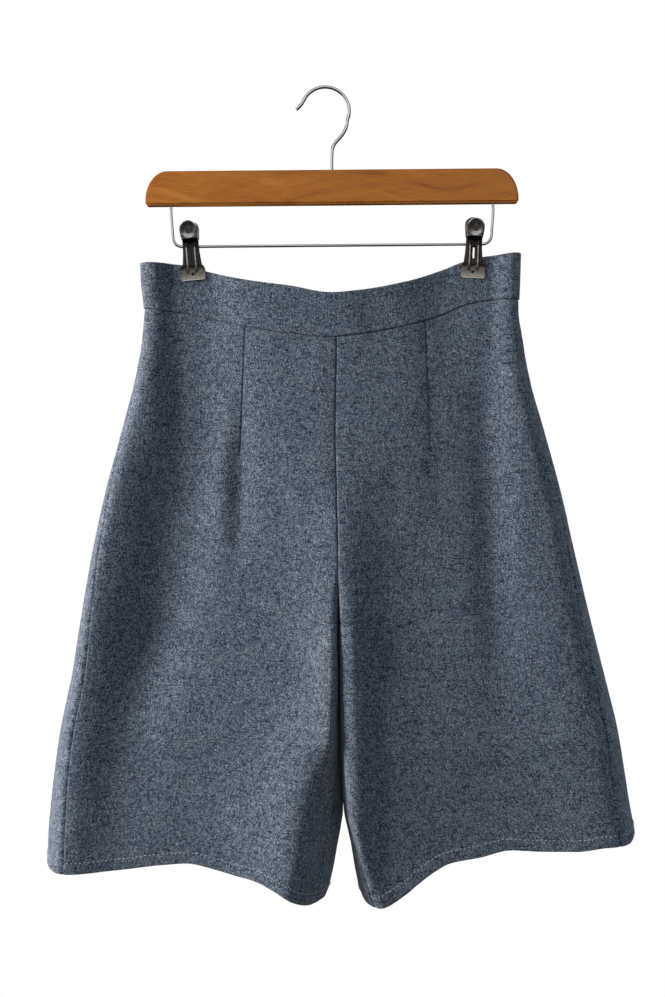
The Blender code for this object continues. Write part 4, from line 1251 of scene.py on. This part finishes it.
def make_wood():
    """Varnished wood with its grain along the bar."""
    g = new_material("bar_wood_varnish", Roughness=0.42, Coat_Weight=0.08, Coat_Roughness=0.3,
                     Specular_IOR_Level=0.35)
    place = g.place()
    x, y, z = g.parts(place)
    sway = g.times(g.noise(g.stretched(place, (7.0, 9.0, 9.0)), 1.0), 6.0)
    bent = g.vector(g.times(x, 6.0), g.times(y, 60.0), g.math("MULTIPLY_ADD", z, 75.0, sway))
    bands = g.noise(bent, 1.0, 3.0, 0.6)
    clouds = g.noise(g.stretched(place, (11.0, 20.0, 34.0)), 1.0)
    fine = g.noise(g.stretched(place, (60.0, 1400.0, 1500.0)), 1.0, 3.0, 0.6)
    tone = g.math("MULTIPLY_ADD", bands, 0.55, g.times(clouds, 0.45))
    base = g.ramp(g.span(tone, 0.34, 0.64), *WOOD)
    g.set("Base Color", g.scaled(base, g.span(fine, 0.30, 0.56, 0.70, 1.06)))
    g.bump(fine, 0.00006, 0.6)
    return g.owner


def make_stage():
    """A pale floor well below the hem, which fades out at its edge."""
    bpy.ops.mesh.primitive_circle_add(vertices=96, radius=FLOOR_RADIUS, fill_type="NGON",
                                      location=(0, 0, FLOOR_LEVEL))
    floor = bpy.context.object
    floor.name = "floor"
    floor.visible_glossy = False
    g = new_material("pale_floor", Roughness=0.9, Base_Color=(0.93, 0.93, 0.93))
    place = g.stretched(g.place(), (1.0, 1.0, 0.0))
    away = g.node("VectorMath", {0: place}, 1, operation="LENGTH")
    g.set("Alpha", g.span(away, FLOOR_RADIUS * 0.3, FLOOR_RADIUS * 0.8, 1.0, 0.0))
    floor.data.materials.append(g.owner)


def make_world():
    """White to the camera. As light, it is bright above and dim at the garment's level and below."""
    world = bpy.data.worlds.new("studio")
    bpy.context.scene.world = world
    g = Graph(world, "World Output")
    seen = g.tree.nodes["Background"]
    g.feed(seen, "Color", WHITE)
    above = g.parts(g.node("TexCoord", {}))[2]
    light = g.node("Background", {"Color": SHADE_TINT, "Strength": g.span(above, 0.0, 0.8, *WORLD_LIGHT)})
    to_camera = g.node("LightPath", {})
    g.set("Surface", g.node("MixShader", {0: to_camera, 1: light, 2: seen.outputs[0]}))


def make_lights():
    """A key and a strip behind it rake along the cloth from the left, and weak lights fill the right."""
    for name, (place, width, height, power, tint) in (LAMPS | CARDS).items():
        light = bpy.data.lights.new(name, "AREA")
        light.shape = "RECTANGLE"
        light.size = width
        light.size_y = height
        light.energy = power
        light.color = tint
        lamp = link(name, light)
        lamp.location = place
        lamp.rotation_euler = (Vector(LIGHT_TARGET) - lamp.location).to_track_quat("-Z", "Y").to_euler()
        lamp.visible_diffuse = name in LAMPS
        lamp.visible_glossy = name in CARDS


def make_camera():
    camera = bpy.data.cameras.new("camera")
    camera.sensor_width = SENSOR
    camera.lens = SENSOR * CAMERA_DISTANCE / PHOTO_HEIGHT
    placed = link("camera", camera)
    placed.location = (CAMERA_X * MM, -CAMERA_DISTANCE * MM, -CAMERA_DROP * MM)
    placed.rotation_euler = (math.radians(90), 0, 0)
    bpy.context.scene.camera = placed


def main():
    thread = make_plain("hem_thread", (0.32, 0.355, 0.38), 0.25, (0.7, 0.9), 700.0, 0.0001)
    nylon = make_plain("zip_nylon", (0.05, 0.065, 0.09), 0.15, (0.35, 0.5), 500.0, 0.00003)
    paint = make_plain("zip_paint", (0.075, 0.095, 0.125), 0.08, (0.3, 0.42), 350.0, 0.00003, Coat_Weight=0.3)
    chrome = make_plain("chrome", (0.80, 0.80, 0.81), 0.03, (0.05, 0.11), 260.0, 0.000004, Metallic=1.0)
    spring = make_plain("spring_steel", (0.12, 0.11, 0.10), 0.16, (0.2, 0.35), 420.0, 0.00001, Metallic=1.0)
    make_garment(make_cloth(), make_tape_cloth(), thread, nylon)
    make_hanger(make_wood(), chrome, make_clip_steel(), spring)
    for node in ("zip_slider", "zip_pull"):
        bpy.data.objects[node].data.materials[0] = paint
    make_stage()
    make_world()
    make_lights()
    make_camera()
    bpy.context.scene.view_settings.view_transform = "Standard"


main()
